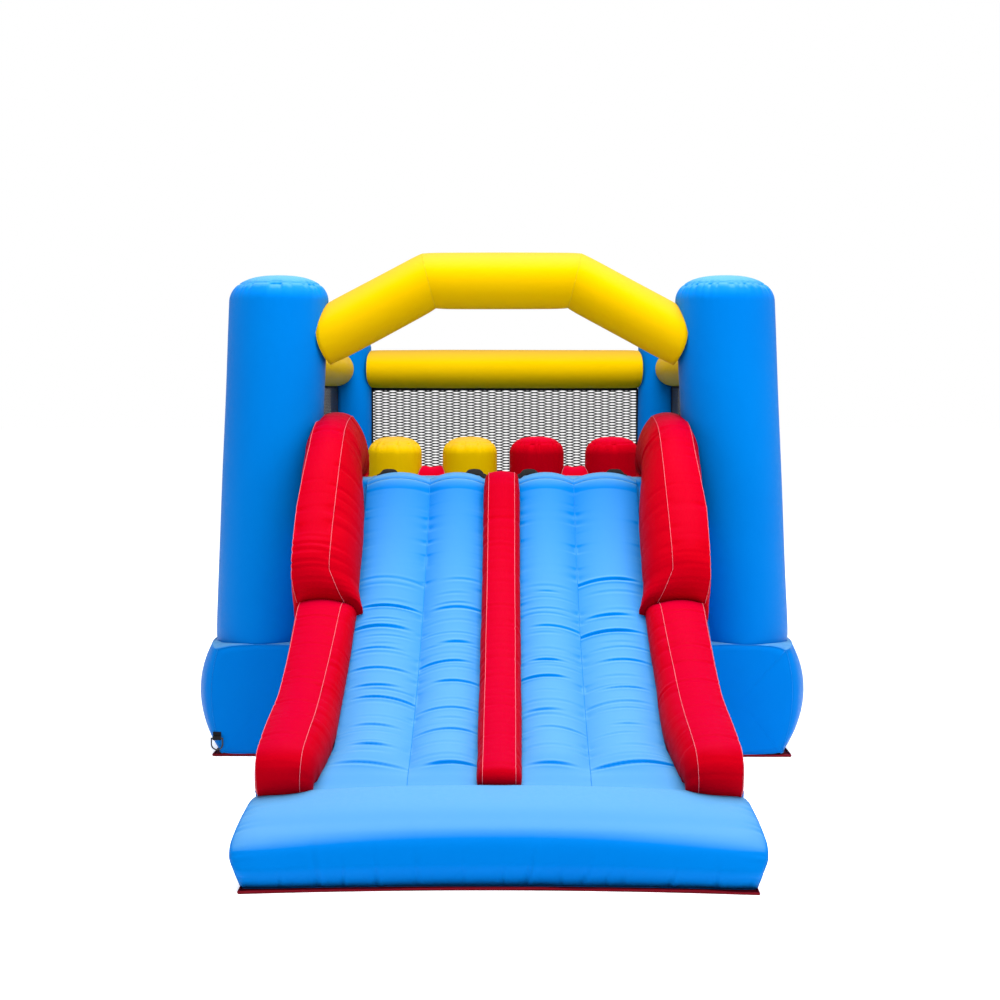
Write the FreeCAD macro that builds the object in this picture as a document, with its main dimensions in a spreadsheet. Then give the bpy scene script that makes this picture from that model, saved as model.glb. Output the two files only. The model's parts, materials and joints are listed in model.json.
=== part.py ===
import FreeCAD, Part
import math
import os
import Sketcher

# Inflatable bounce house with a dual-lane slide, kept full of air by a blower.
# Frame: millimetres, +Z up, +X to the right of a child facing the slide from outside,
# -Y towards the slide's landing, origin at the middle of the footprint on the ground.

DIMENSIONS = [
    ("skin", 4, "wall that stands for the coated fabric of a chamber"),
    ("seam_gap", 2, "gap left between neighbouring chambers"),
    ("total_length", 7220, "landing cushion to the back of the blower"),
    ("landing_reach", 2320, "front posts' axes to the front of the landing cushion"),
    ("ground_depth", 4, "ground sheet"),
    ("landing_sheet_width", 1860, "ground sheet under the slide and the landing cushion"),
    ("house_width", 2790, "between the seams of the two base tubes"),
    ("base_bulge", 75, "how far a base tube swells past its seam"),
    ("base_tube", 480, "base tube from its inner face to its seam"),
    ("base_top", 540, "top of the base tubes"),
    ("base_reach", 240, "posts' axes to the end faces of the base"),
    ("house_depth", 3900, "front posts' axes to back posts' axes"),
    ("floor_top", 400, "bounce floor at the seams between its ribs"),
    ("floor_crown", 30, "rise of each rib of the bounce floor"),
    ("floor_ribs", 9, "ribs across the bounce floor"),
    ("post_radius", 240, "front posts"),
    ("post_top", 2320, "top of the front posts"),
    ("post_spread", 1151, "front posts' axes from the middle, at the base"),
    ("post_lean", 2.05, "inward lean of the front posts, degrees"),
    ("post_clear", 12, "gap under the front posts, whose leaning feet tip down"),
    ("post_cap", 90, "height of a front post's domed cap"),
    ("back_post_radius", 148, "back posts"),
    ("back_post_top", 2150, "top of the back posts"),
    ("back_post_spread", 1127, "back posts' axes from the middle"),
    ("back_post_cap", 60, "height of a back post's domed cap"),
    ("arch_radius", 137.5, "front arch tube"),
    ("arch_top", 2440, "top of the front arch"),
    ("arch_flat", 375, "half the level middle stretch of the arch"),
    ("arch_drop", 344, "fall of the arch's axis from its level stretch to its ends"),
    ("arch_spread", 1012, "ends of the arch's axis from the middle, inside the posts"),
    ("beam_radius", 140, "back beam"),
    ("side_beam_radius", 125, "side beams"),
    ("side_line", 1215, "side beams' axes and side netting from the middle"),
    ("beam_height", 1915, "axis of the side and back beams"),
    ("net_depth", 4, "netting panels"),
    ("net_clear", 6, "gap between the netting's edges and the chambers round it"),
    ("door_start", 478, "hinge line of the netting door, behind the front posts' axes"),
    ("door_width", 900, "netting door"),
    ("door_clear", 14, "gap above and below the netting door"),
    ("strap_width", 22, "door straps"),
    ("strap_depth", 6, "thickness of the door straps"),
    ("strap_gap", 8, "gap between the netting door and each of its straps"),
    ("piping_radius", 3, "piping along the hinge strap, which the door swings about"),
    ("piping_offset", 2, "piping's axis from the edge of the hinge strap"),
    ("slide_half", 655, "middle to the inner face of a slide wall"),
    ("slide_outer", 930, "middle to the outer face of an upper slide wall"),
    ("lower_outer", 905, "middle to the outer face of a lower slide wall"),
    ("slide_body_half", 910, "middle to the side panel of the slide body"),
    ("crest_reach", 90, "front posts' axes to the slide's crest"),
    ("crest_top", 1330, "top of the slide"),
    ("bed_end_reach", 1895, "front posts' axes to the lower end of the slide bed"),
    ("bed_end_top", 285, "height of the lower end of the slide bed"),
    ("bed_sag", 150, "how far the bed hangs below its chord"),
    ("lane_depth", 36, "slide lane at the seams between its ribs"),
    ("lane_crown", 24, "rise of each of a lane's ribs"),
    ("divider_width", 156, "divider between the lanes"),
    ("divider_rise", 85, "divider above the bed"),
    ("wall_rise", 165, "lower slide walls above the bed"),
    ("wall_end", 12.9, "angle about the bed's centre of the walls' lower ends, degrees"),
    ("wall_fold", 32.2, "angle about the bed's centre of the fold in the walls, degrees"),
    ("fold_notch", 20, "step down from a lower wall's top to the upper wall's at the fold"),
    ("fold_swell", 215, "swell of the upper wall's front above the bed, just past the fold"),
    ("fold_turn", 3.4, "angle about the bed's centre from that swell to the knee, degrees"),
    ("knee_reach", 660, "front posts' axes to the knee, where an upper wall's straight front starts"),
    ("knee_top", 1150, "height of the knee"),
    ("brow_reach", 250, "front posts' axes to the upper end of that straight front"),
    ("brow_top", 1508, "height of that upper end"),
    ("brow_bend_top", 1578, "height of the rounded front midway to the posts' axes"),
    ("wall_top", 1645, "top of the upper slide walls"),
    ("wall_back", 300, "front posts' axes to the back of the upper slide walls"),
    ("wall_round", 60, "size of the rounded corner at the back of their tops"),
    ("platform_back", 170, "front posts' axes to the back edge of the platform"),
    ("climb_foot", 550, "front posts' axes to the foot of the back slope"),
    ("climb_depth", 145, "climbing wall, front to back"),
    ("rail_top", 1460, "top of the climbing rails"),
    ("rail_depth", 300, "climbing rail, front to back"),
    ("rail_crown", 28, "rise of a climbing rail's rounded top"),
    ("pillow_width", 1880, "landing cushion"),
    ("pillow_back", 1905, "front posts' axes to the back of the landing cushion"),
    ("pillow_top", 225, "landing cushion at its seams"),
    ("pillow_crown", 35, "rise of the landing cushion's top"),
    ("pillow_bulge", 30, "how far the landing cushion's front swells past its seams"),
    ("pillar_radius", 160, "obstacle pillars"),
    ("pillar_top", 1490, "top of the obstacle pillars"),
    ("pillar_cap", 70, "height of a pillar's domed cap"),
    ("pillar_reach", 1560, "front posts' axes to the row of pillars"),
    ("pillar_outer", 640, "middle to an outer pillar's axis"),
    ("pillar_inner", 197, "middle to an inner pillar's axis"),
    ("bolster_top", 1320, "top of the bolster between two pillars"),
    ("bolster_radius", 130, "bolster between two pillars"),
    ("webbing_depth", 4, "thickness of the webbing"),
    ("handle_span", 110, "grab handle, foot to foot"),
    ("handle_rise", 40, "grab handle above the crest"),
    ("handle_width", 45, "webbing of a grab handle"),
    ("handle_foot", 14, "foot of a grab handle, turned out on the platform"),
    ("handle_shoulder", 22, "half the level top of a grab handle"),
    ("handle_reach", 20, "front posts' axes to the front edge of the grab handles"),
    ("handle_outer", 555, "middle to an outer grab handle"),
    ("handle_inner", 135, "middle to an inner grab handle"),
    ("tab_width", 40, "anchor tab"),
    ("tab_height", 30, "anchor tab above its ring's pivot"),
    ("tab_loop", 9.5, "outer radius of the loop at an anchor tab's foot"),
    ("tab_bore", 5.5, "inner radius of that loop"),
    ("ring_half", 27, "half the straight bar of an anchor ring"),
    ("ring_side", 28, "straight side of an anchor ring"),
    ("ring_wire", 3.5, "radius of an anchor ring's wire"),
    ("ring_height", 90, "pivot of the anchor rings above the ground"),
    ("ring_corner", 1372, "middle to the anchor rings at the corners"),
    ("ring_inward", 1010, "middle to the front right anchor ring"),
    ("sleeve_radius", 96, "inlet sleeve, outside"),
    ("sleeve_height", 165, "axis of the inlet sleeve and the blower's outlet"),
    ("sleeve_side", 1150, "middle to the axis of the inlet sleeve"),
    ("sleeve_length", 330, "inlet sleeve behind the base"),
    ("outlet_overlap", 90, "how far the blower's outlet reaches into the sleeve"),
    ("sleeve_strap", 30, "strap that ties the sleeve to the outlet"),
    ("zip_length", 520, "deflation zip"),
    ("zip_middle", 300, "middle to the centre of the deflation zip"),
    ("zip_height", 150, "deflation zip above the ground"),
    ("volute_radius", 165, "blower volute, outside"),
    ("volute_width", 210, "blower housing, side to side"),
    ("volute_wall", 4, "blower housing wall"),
    ("volute_split", 0.4, "gap between the two halves of the housing"),
    ("blower_height", 205, "axis of the blower's impeller"),
    ("inlet_radius", 84, "blower's air inlet"),
    ("impeller_radius", 118, "impeller"),
    ("impeller_width", 84, "impeller, back plate to front ring"),
    ("impeller_plate", 4, "impeller's back plate and front ring"),
    ("impeller_offset", 8, "middle of the housing to the impeller's back plate"),
    ("impeller_blades", 24, "blades round the impeller"),
    ("blade_length", 26, "impeller blade, root to tip"),
    ("blade_depth", 2.5, "thickness of an impeller blade"),
    ("hub_radius", 18, "impeller's hub"),
    ("hub_length", 20, "impeller's hub"),
    ("blade_lean", 12, "forward lean of a blade, root to tip"),
    ("blade_margin", 1, "blade tip to the impeller's edge"),
    ("motor_radius", 55, "blower's motor"),
    ("motor_length", 78, "blower's motor"),
    ("shaft_radius", 6, "motor shaft"),
    ("shaft_length", 74, "motor shaft"),
    ("foot_height", 95, "blower's feet, before they are cut to the volute"),
    ("foot_length", 40, "blower's feet, front to back"),
    ("foot_width", 200, "blower's feet, side to side"),
    ("foot_spread", 100, "blower's axis to the middle of a foot"),
    ("carry_span", 130, "blower's carrying handle"),
    ("carry_rise", 55, "carrying handle above the volute"),
    ("carry_radius", 11, "carrying handle's bar"),
    ("switch_box_depth", 25, "switch box, out from the housing"),
    ("switch_box_width", 64, "switch box, front to back"),
    ("switch_box_height", 84, "switch box"),
    ("switch_pocket", 14, "depth of the rocker's pocket"),
    ("rocker_width", 23, "rocker, front to back"),
    ("rocker_length", 31, "rocker, end to end"),
    ("rocker_depth", 7, "switch box's face to the rocker's pivot"),
    ("rocker_root", 5, "rocker's root below its pivot"),
    ("rocker_ledge", 2, "rocker's widest line above its pivot"),
    ("rocker_lip", 8, "raised ends of the rocker above its pivot"),
    ("rocker_tilt", 8, "tilt of the rocker when the blower is off, degrees"),
    ("rocker_pin", 2, "radius of the rocker's pivot pin"),
    ("rocker_pin_reach", 4, "pivot pin beyond each side of the rocker"),
    ("gland_radius", 9, "cable gland under the switch box"),
    ("gland_length", 22, "cable gland"),
    ("gland_bore", 4.1, "radius of the cable gland's bore"),
    ("gland_bore_length", 18, "cable gland's bore, up from its mouth"),
    ("screw_circle", 146, "blower's axis to the housing screws"),
    ("screw_head", 5, "radius of a housing screw's head"),
    ("screw_shank", 2, "radius of a housing screw's shank"),
]

doc = FreeCAD.newDocument("BounceHouse")
sheet = doc.addObject("Spreadsheet::Sheet", "Dims")
for row, (alias, value, meaning) in enumerate(DIMENSIONS, start=1):
    sheet.set(f"A{row}", meaning)
    sheet.set(f"B{row}", str(value))
    sheet.setAlias(f"B{row}", alias)
doc.recompute()

SUB_PARTS = []
HAIR = 0.3  # clearance that keeps a cut face off its neighbour


def dim(alias):
    return float(getattr(sheet, alias))


def vec(x, y, z):
    return FreeCAD.Vector(x, y, z)


X_AXIS, Y_AXIS, Z_AXIS = vec(1, 0, 0), vec(0, 1, 0), vec(0, 0, 1)
UPRIGHT = FreeCAD.Rotation()
ALONG_X = FreeCAD.Rotation(Y_AXIS, 90)
ALONG_Y = FreeCAD.Rotation(X_AXIS, -90)

# Lengths along Y are measured from the plane of the front posts' axes.
PLANE = "Dims.landing_reach - Dims.total_length / 2"
plane = dim("landing_reach") - dim("total_length") / 2
skin, seam_gap = dim("skin"), dim("seam_gap")
under = dim("ground_depth") + 1  # underside of everything that lies on the ground sheet
UNDER = "(Dims.ground_depth + 1)"


def keep(label, obj):
    """Marks a document object as a finished sub-part, under its own name."""
    obj.Label = label
    SUB_PARTS.append(obj)
    return obj


def primitive(kind, name, sizes, at=(), turn=UPRIGHT):
    """A Part primitive with its sizes and its place bound to the sheet."""
    obj = doc.addObject("Part::" + kind, name)
    for prop, expression in sizes.items():
        obj.setExpression(prop, expression)
    return place(obj, at, turn)


def place(obj, at, turn=UPRIGHT):
    obj.Placement = FreeCAD.Placement(vec(0, 0, 0), turn)
    for axis, expression in zip("xyz", at):
        obj.setExpression(f"Placement.Base.{axis}", expression)
    return obj


def cut(name, base, tool):
    obj = doc.addObject("Part::Cut", name)
    obj.Base, obj.Tool = base, tool
    return obj


def common(name, base, tool):
    obj = doc.addObject("Part::Common", name)
    obj.Base, obj.Tool = base, tool
    return obj


def fuse(name, *parts):
    obj = doc.addObject("Part::MultiFuse", name)
    obj.Shapes = list(parts)
    return obj


def group(name, *parts):
    """Separate solids of one kind in one object."""
    obj = doc.addObject("Part::Compound", name)
    obj.Links = list(parts)
    return obj


def feature(name, shape):
    """An object whose surface no primitive gives."""
    obj = doc.addObject("Part::Feature", name)
    obj.Shape = shape
    return obj


def hollow(label, build):
    """An air chamber: the outer form, less the same form drawn in by the skin."""
    return keep(label, cut(label, build(label + "_outer", 0), build(label + "_inner", 1)))


def box_form(name, inset, low, high):
    """A box between two corners given as expressions, drawn in by inset skins."""
    by = f"{inset} * Dims.skin"
    sizes = {
        prop: f"({top}) - ({bottom}) - 2 * {by}"
        for prop, bottom, top in zip(("Length", "Width", "Height"), low, high)
    }
    return primitive("Box", name, sizes, [f"{bottom} + {by}" for bottom in low])


def extruded(wire, inset, sweep):
    """A closed flat outline pushed along sweep, drawn in by inset skins."""
    by = inset * skin
    if by:
        wire = wire.makeOffset2D(-by)
    along = vec(*sweep).normalize()
    solid = Part.Face(wire).extrude(vec(*sweep) - along * 2 * by)
    solid.translate(along * by)
    return solid


def outline(points):
    """A closed straight-sided wire in a plane across X, from (y, z) pairs."""
    corners = [vec(0, plane + y, z) for y, z in points]
    return Part.makePolygon([*corners, corners[0]])


def across(label, wire, low, high, beside_posts=False):
    """An air chamber of one side outline, from X = low to X = high.
    Beside the posts its sides are scooped out to leave them room."""
    def build(name, inset):
        solid = extruded(wire, inset, vec(high - low, 0, 0))
        solid.translate(vec(low, 0, 0))
        if not beside_posts:
            return feature(name, solid)
        return cut(name, feature(name + "_whole", solid), post_clearance(name + "_posts", inset))

    return hollow(label, build)


# ---- Ground sheet: one piece under the house, the slide and the landing cushion
house_sheet = primitive(
    "Box", "house_sheet",
    {"Length": "Dims.house_width", "Width": "Dims.house_depth + 2 * Dims.base_reach",
     "Height": "Dims.ground_depth"},
    ("-Dims.house_width / 2", f"{PLANE} - Dims.base_reach", "0"),
)
landing_sheet = primitive(
    "Box", "landing_sheet",
    {"Length": "Dims.landing_sheet_width", "Width": "Dims.landing_reach",
     "Height": "Dims.ground_depth"},
    ("-Dims.landing_sheet_width / 2", f"{PLANE} - Dims.landing_reach", "0"),
)
keep("ground_sheet", fuse("ground_sheet", house_sheet, landing_sheet))


# ---- Base: two side tubes with swelling outer walls, a back tube and a ribbed floor
def base_side(side):
    """A straight-sided tube whose outer wall is part of a large cylinder."""
    rise = f"(Dims.base_top - {UNDER})"
    swell = f"(({rise} / 2) ^ 2 + Dims.base_bulge ^ 2) / (2 * Dims.base_bulge)"
    inner, outer = "Dims.house_width / 2 - Dims.base_tube", "Dims.house_width / 2 + Dims.base_bulge"
    low_x, high_x = (inner, outer) if side > 0 else (f"-({outer})", f"-({inner})")
    run = "(Dims.house_depth + 2 * Dims.base_reach)"

    def build(name, inset):
        block = box_form(
            name + "_block", inset,
            (low_x, f"{PLANE} - Dims.base_reach", UNDER),
            (high_x, f"{PLANE} - Dims.base_reach + {run}", "Dims.base_top"),
        )
        drum = primitive(
            "Cylinder", name + "_drum",
            {"Radius": f"{swell} - {inset} * Dims.skin", "Height": run},
            (f"{side} * ({outer} - {swell})", f"{PLANE} - Dims.base_reach",
             f"{UNDER} + {rise} / 2"),
            ALONG_Y,
        )
        return common(name, block, drum)

    return build


hollow("base_tube_left", base_side(-1))
hollow("base_tube_right", base_side(1))

BASE_INNER = "(Dims.house_width / 2 - Dims.base_tube - Dims.seam_gap)"
BASE_BACK = f"({PLANE} + Dims.house_depth + Dims.base_reach)"
hollow("base_tube_back", lambda name, inset: box_form(
    name, inset,
    (f"-{BASE_INNER}", f"{BASE_BACK} - Dims.base_tube", UNDER),
    (BASE_INNER, BASE_BACK, "Dims.base_top"),
))


def ribbed(width, low, seams, crown, ribs):
    """A flat-bottomed cross-section whose top is a row of equal arched ribs."""
    pitch = width / ribs
    edges = []
    for i in range(ribs):
        left = -width / 2 + i * pitch
        edges.append(Part.Arc(
            vec(left, 0, seams), vec(left + pitch / 2, 0, seams + crown), vec(left + pitch, 0, seams)
        ).toShape())
    right = Part.makeLine(vec(width / 2, 0, seams), vec(width / 2, 0, low))
    bottom = Part.makeLine(vec(width / 2, 0, low), vec(-width / 2, 0, low))
    left = Part.makeLine(vec(-width / 2, 0, low), vec(-width / 2, 0, seams))
    return Part.Wire([*edges, right, bottom, left])


floor_width = 2 * (dim("house_width") / 2 - dim("base_tube") - seam_gap)
floor_ribs = int(dim("floor_ribs"))
floor_start = plane + dim("climb_foot") + seam_gap
floor_end = plane + dim("house_depth") + dim("base_reach") - dim("base_tube") - seam_gap
floor_crest = dim("floor_top") + dim("floor_crown")
floor_wire = ribbed(floor_width, under, dim("floor_top"), dim("floor_crown"), floor_ribs)
floor_wire.translate(vec(0, floor_start, 0))
hollow("bounce_floor", lambda name, inset: feature(
    name, extruded(floor_wire, inset, vec(0, floor_end - floor_start, 0))
))

# Sheets inside the floor hold its ribs down along the seams.
BAFFLE_CLEAR = 12
floor_baffles = [
    primitive(
        "Box", f"floor_baffle_{i}",
        {"Length": "Dims.skin / 2",
         "Width": f"Dims.house_depth + Dims.base_reach - Dims.base_tube - Dims.climb_foot"
                  f" - 4 * {BAFFLE_CLEAR}",
         "Height": f"Dims.floor_top - {UNDER} - 2 * {BAFFLE_CLEAR}"},
        (f"{BASE_INNER} * (2 * {i} / Dims.floor_ribs - 1) - Dims.skin / 4",
         f"{PLANE} + Dims.climb_foot + 2 * {BAFFLE_CLEAR}", f"{UNDER} + {BAFFLE_CLEAR}"),
    )
    for i in range(1, floor_ribs)
]
keep("floor_baffles", group("floor_baffles", *floor_baffles))


# ---- Posts and pillars: upright tubes with domed caps
def domed_form(name, inset, radius, length, cap):
    by = f"{inset} * Dims.skin"
    barrel = primitive(
        "Cylinder", name + "_barrel",
        {"Radius": f"{radius} - {by}", "Height": f"{length} - {cap} - {by}"}, ("0", "0", by),
    )
    dome = primitive(
        "Ellipsoid", name + "_dome",
        {"Radius1": f"{cap} - {by}", "Radius2": f"{radius} - {by}", "Angle1": "0"},
        ("0", "0", f"{length} - {cap}"),
    )
    return fuse(name, barrel, dome)


def domed_tube(label, radius, length, cap, at, turn=UPRIGHT):
    tube = hollow(label, lambda name, inset: domed_form(name, inset, radius, length, cap))
    return place(tube, at, turn)


POST_FOOT = "(Dims.base_top + Dims.post_clear)"
SIDES = (("left", -1), ("right", 1))
for side_name, side in SIDES:
    domed_tube(
        f"front_post_{side_name}", "Dims.post_radius", f"Dims.post_top - {POST_FOOT}",
        "Dims.post_cap", (f"{side} * Dims.post_spread", PLANE, POST_FOOT),
        FreeCAD.Rotation(Y_AXIS, -side * dim("post_lean")),
    )
    domed_tube(
        f"back_post_{side_name}", "Dims.back_post_radius",
        f"Dims.back_post_top - Dims.base_top - Dims.seam_gap", "Dims.back_post_cap",
        (f"{side} * Dims.back_post_spread", f"{PLANE} + Dims.house_depth",
         "Dims.base_top + Dims.seam_gap"),
    )


def post_clearance(name, inset):
    """The four posts, grown by the gap that everything beside them keeps from them."""
    grow = f"Dims.seam_gap + {inset} * Dims.skin"
    tools = []
    for side_name, side in SIDES:
        tools.append(primitive(
            "Cylinder", f"{name}_front_{side_name}",
            {"Radius": f"Dims.post_radius + {grow}", "Height": "Dims.post_top"},
            (f"{side} * Dims.post_spread", PLANE, POST_FOOT),
            FreeCAD.Rotation(Y_AXIS, -side * dim("post_lean")),
        ))
        tools.append(primitive(
            "Cylinder", f"{name}_back_{side_name}",
            {"Radius": f"Dims.back_post_radius + {grow}", "Height": "Dims.back_post_top"},
            (f"{side} * Dims.back_post_spread", f"{PLANE} + Dims.house_depth", POST_FOOT),
        ))
    return fuse(name, *tools)


# ---- Front arch: a mitred tube between the front posts
arch_axis_top = dim("arch_top") - dim("arch_radius")
arch_points = [
    vec(-dim("arch_spread"), plane, arch_axis_top - dim("arch_drop")),
    vec(-dim("arch_flat"), plane, arch_axis_top),
    vec(dim("arch_flat"), plane, arch_axis_top),
    vec(dim("arch_spread"), plane, arch_axis_top - dim("arch_drop")),
]


def arch_form(name, inset):
    spine = feature(name + "_spine", Part.makePolygon(arch_points))
    start = (arch_points[1] - arch_points[0]).normalize()
    ring = primitive(
        "Circle", name + "_ring", {"Radius": f"Dims.arch_radius - {inset} * Dims.skin"}
    )
    ring.Placement = FreeCAD.Placement(arch_points[0], FreeCAD.Rotation(Z_AXIS, start))
    tube = doc.addObject("Part::Sweep", name + "_tube")
    tube.Sections = [ring]
    tube.Spine = (spine, ["Edge1", "Edge2", "Edge3"])
    tube.Solid = True
    tube.Transition = "Right corner"
    return cut(name, tube, post_clearance(name + "_posts", inset))


hollow("front_arch", arch_form)


# ---- Beams along both sides and across the back, cut to the posts they meet
def beam_form(radius, at, length, turn):
    def build(name, inset):
        tube = primitive(
            "Cylinder", name + "_tube",
            {"Radius": f"{radius} - {inset} * Dims.skin", "Height": length}, at, turn,
        )
        return cut(name, tube, post_clearance(name + "_posts", inset))

    return build


for side_name, side in SIDES:
    hollow(f"side_beam_{side_name}", beam_form(
        "Dims.side_beam_radius",
        (f"{side} * Dims.side_line", f"{PLANE} + Dims.post_radius / 2", "Dims.beam_height"),
        "Dims.house_depth - Dims.post_radius / 2 - Dims.back_post_radius / 3", ALONG_Y,
    ))
hollow("back_beam", beam_form(
    "Dims.beam_radius",
    ("-Dims.back_post_spread + Dims.back_post_radius / 3", f"{PLANE} + Dims.house_depth",
     "Dims.beam_height"),
    "2 * Dims.back_post_spread - 2 * Dims.back_post_radius / 3", ALONG_X,
))


# ---- Netting: a panel on each side and the back, with a door in the right one
NET_FOOT = "(Dims.base_top + Dims.net_clear)"
SIDE_NET_TOP = "(Dims.beam_height - Dims.side_beam_radius - Dims.net_clear)"
BACK_NET_TOP = "(Dims.beam_height - Dims.beam_radius - Dims.net_clear)"
BACK_POST_CHORD = "sqrt(Dims.back_post_radius ^ 2 - (Dims.side_line - Dims.back_post_spread) ^ 2)"
NET_START = f"({PLANE} + Dims.post_radius + Dims.net_clear)"
NET_END = f"({PLANE} + Dims.house_depth - {BACK_POST_CHORD} - Dims.net_clear)"
DOOR_START = f"({PLANE} + Dims.door_start)"
DOOR_END = f"({DOOR_START} + Dims.door_width)"


def side_panel(name, side, start, end, depth="Dims.net_depth", clear="0"):
    """An upright flat panel on one side of the house, clear of the full net's two edges."""
    return primitive(
        "Box", name,
        {"Length": depth, "Width": f"{end} - {start}",
         "Height": f"{SIDE_NET_TOP} - {NET_FOOT} - 2 * {clear}"},
        (f"{side} * Dims.side_line - {depth} / 2", start, f"{NET_FOOT} + {clear}"),
    )


keep("net_left", side_panel("net_left", -1, NET_START, NET_END))
BACK_NET_HALF = "(Dims.back_post_spread - Dims.back_post_radius - Dims.seam_gap)"
keep("net_back", primitive(
    "Box", "net_back",
    {"Length": f"2 * {BACK_NET_HALF}", "Width": "Dims.net_depth",
     "Height": f"{BACK_NET_TOP} - {NET_FOOT}"},
    (f"-{BACK_NET_HALF}", f"{PLANE} + Dims.house_depth - Dims.net_depth / 2", NET_FOOT),
))
HINGE_START = f"({DOOR_START} - Dims.strap_gap - Dims.strap_width)"
HINGE_END = f"({HINGE_START} + Dims.strap_width)"
LATCH_START = f"({DOOR_END} + Dims.strap_gap)"
LATCH_END = f"({LATCH_START} + Dims.strap_width)"
keep("net_right", group(
    "net_right",
    side_panel("net_right_front", 1, NET_START, f"({HINGE_START} - {HAIR})"),
    side_panel("net_right_back", 1, f"({LATCH_END} + {HAIR})", NET_END),
))
hinge_strap = side_panel("hinge_strap", 1, HINGE_START, HINGE_END, "Dims.strap_depth")
hinge_piping = primitive(
    "Cylinder", "hinge_piping",
    {"Radius": "Dims.piping_radius", "Height": f"{SIDE_NET_TOP} - {NET_FOOT}"},
    ("Dims.side_line", f"{HINGE_END} + Dims.piping_offset", NET_FOOT),
)
keep("door_straps", group(
    "door_straps",
    fuse("hinge_side", hinge_strap, hinge_piping),
    side_panel("latch_strap", 1, LATCH_START, LATCH_END, "Dims.strap_depth"),
))
keep("net_door", side_panel(
    "net_door", 1, DOOR_START, DOOR_END, clear="Dims.door_clear",
))


# ---- Slide bed: an arc in side view. Everything on the slide is concentric with it.
crest = vec(0, plane - dim("crest_reach"), dim("crest_top"))
bed_end = vec(0, plane - dim("bed_end_reach"), dim("bed_end_top"))
half_chord = (crest - bed_end).Length / 2
bed_radius = (half_chord ** 2 + dim("bed_sag") ** 2) / (2 * dim("bed_sag"))
chord_way = (crest - bed_end).normalize()
chord_normal = X_AXIS.cross(chord_way)
bed_centre = (crest + bed_end) / 2 + chord_normal * (bed_radius - dim("bed_sag"))


def bed_angle(point):
    """Angle of a point about the bed's centre, in degrees from straight down."""
    away = point - bed_centre
    return math.degrees(math.atan2(away.y, -away.z))


def on_bed(rise, angle):
    """The point at an angle about the bed's centre, rise above the bed."""
    reach = bed_radius - rise
    turn = math.radians(angle)
    return bed_centre + vec(0, reach * math.sin(turn), -reach * math.cos(turn))


def arc_on_bed(rise, start, end):
    return Part.Arc(
        on_bed(rise, start), on_bed(rise, (start + end) / 2), on_bed(rise, end)
    ).toShape()


def revolved_on_bed(section, inset, start, end):
    """A cross-section drawn below the bed's centre and swept along the bed."""
    by = inset * skin
    if by:
        section = section.makeOffset2D(-by)
    spare = math.degrees(by / bed_radius)
    face = Part.Face(section)
    face.rotate(bed_centre, X_AXIS, start + spare)
    return face.revolve(bed_centre, X_AXIS, end - start - 2 * spare)


start_angle = bed_angle(bed_end)
end_angle = bed_angle(crest)
lane_under = -dim("lane_depth")
body_rise = lane_under - seam_gap

# The slide body carries the lanes, the walls, the platform and the back slope.
platform_edge = vec(0, plane + dim("platform_back"), dim("crest_top"))
slope_foot = vec(0, plane + dim("climb_foot"), floor_crest + seam_gap)
body_low = on_bed(body_rise, start_angle)
body_high = on_bed(body_rise, end_angle)
platform_front = on_bed(-seam_gap, end_angle + math.degrees(seam_gap / bed_radius) * 2)
platform_front.z = dim("crest_top")
body_front = vec(0, body_low.y, under)
body_back = vec(0, slope_foot.y, under)
body_wire = Part.Wire([
    Part.makeLine(body_front, body_low),
    arc_on_bed(body_rise, start_angle, end_angle),
    Part.makeLine(body_high, platform_front),
    Part.makeLine(platform_front, platform_edge),
    Part.makeLine(platform_edge, slope_foot),
    Part.makeLine(slope_foot, body_back),
    Part.makeLine(body_back, body_front),
])
across("slide_body", body_wire, -dim("slide_body_half"), dim("slide_body_half"), beside_posts=True)


# ---- Lanes, divider and lower walls follow the bed
def bed_section(low_x, high_x, low_rise, high_rise, crown=0, ribs=1):
    """A cross-section between two rises, its top arched into ribs."""
    if crown:
        section = ribbed(high_x - low_x, low_rise, high_rise - crown, crown, ribs)
    else:
        half = (high_x - low_x) / 2
        corners = [vec(-half, 0, low_rise), vec(half, 0, low_rise),
                   vec(half, 0, high_rise), vec(-half, 0, high_rise)]
        section = Part.makePolygon([*corners, corners[0]])
    section.translate(vec((low_x + high_x) / 2, bed_centre.y, bed_centre.z - bed_radius))
    return section


def bed_chamber(label, section, start, end):
    hollow(label, lambda name, inset: feature(name, revolved_on_bed(section, inset, start, end)))


divider_half = dim("divider_width") / 2
LANE_RIBS = 2
for side_name, side in SIDES:
    lane_edges = sorted((side * (divider_half + seam_gap), side * (dim("slide_half") - seam_gap)))
    bed_chamber(
        f"slide_lane_{side_name}",
        bed_section(*lane_edges, lane_under, dim("lane_crown"), dim("lane_crown"), LANE_RIBS),
        start_angle, end_angle,
    )
    wall_edges = sorted((side * (dim("slide_half") + seam_gap), side * dim("lower_outer")))
    bed_chamber(
        f"slide_wall_lower_{side_name}",
        bed_section(*wall_edges, lane_under, dim("wall_rise")),
        dim("wall_end"), dim("wall_fold"),
    )
bed_chamber(
    "slide_divider",
    bed_section(-divider_half, divider_half, lane_under, dim("divider_rise")),
    start_angle, end_angle,
)

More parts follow.
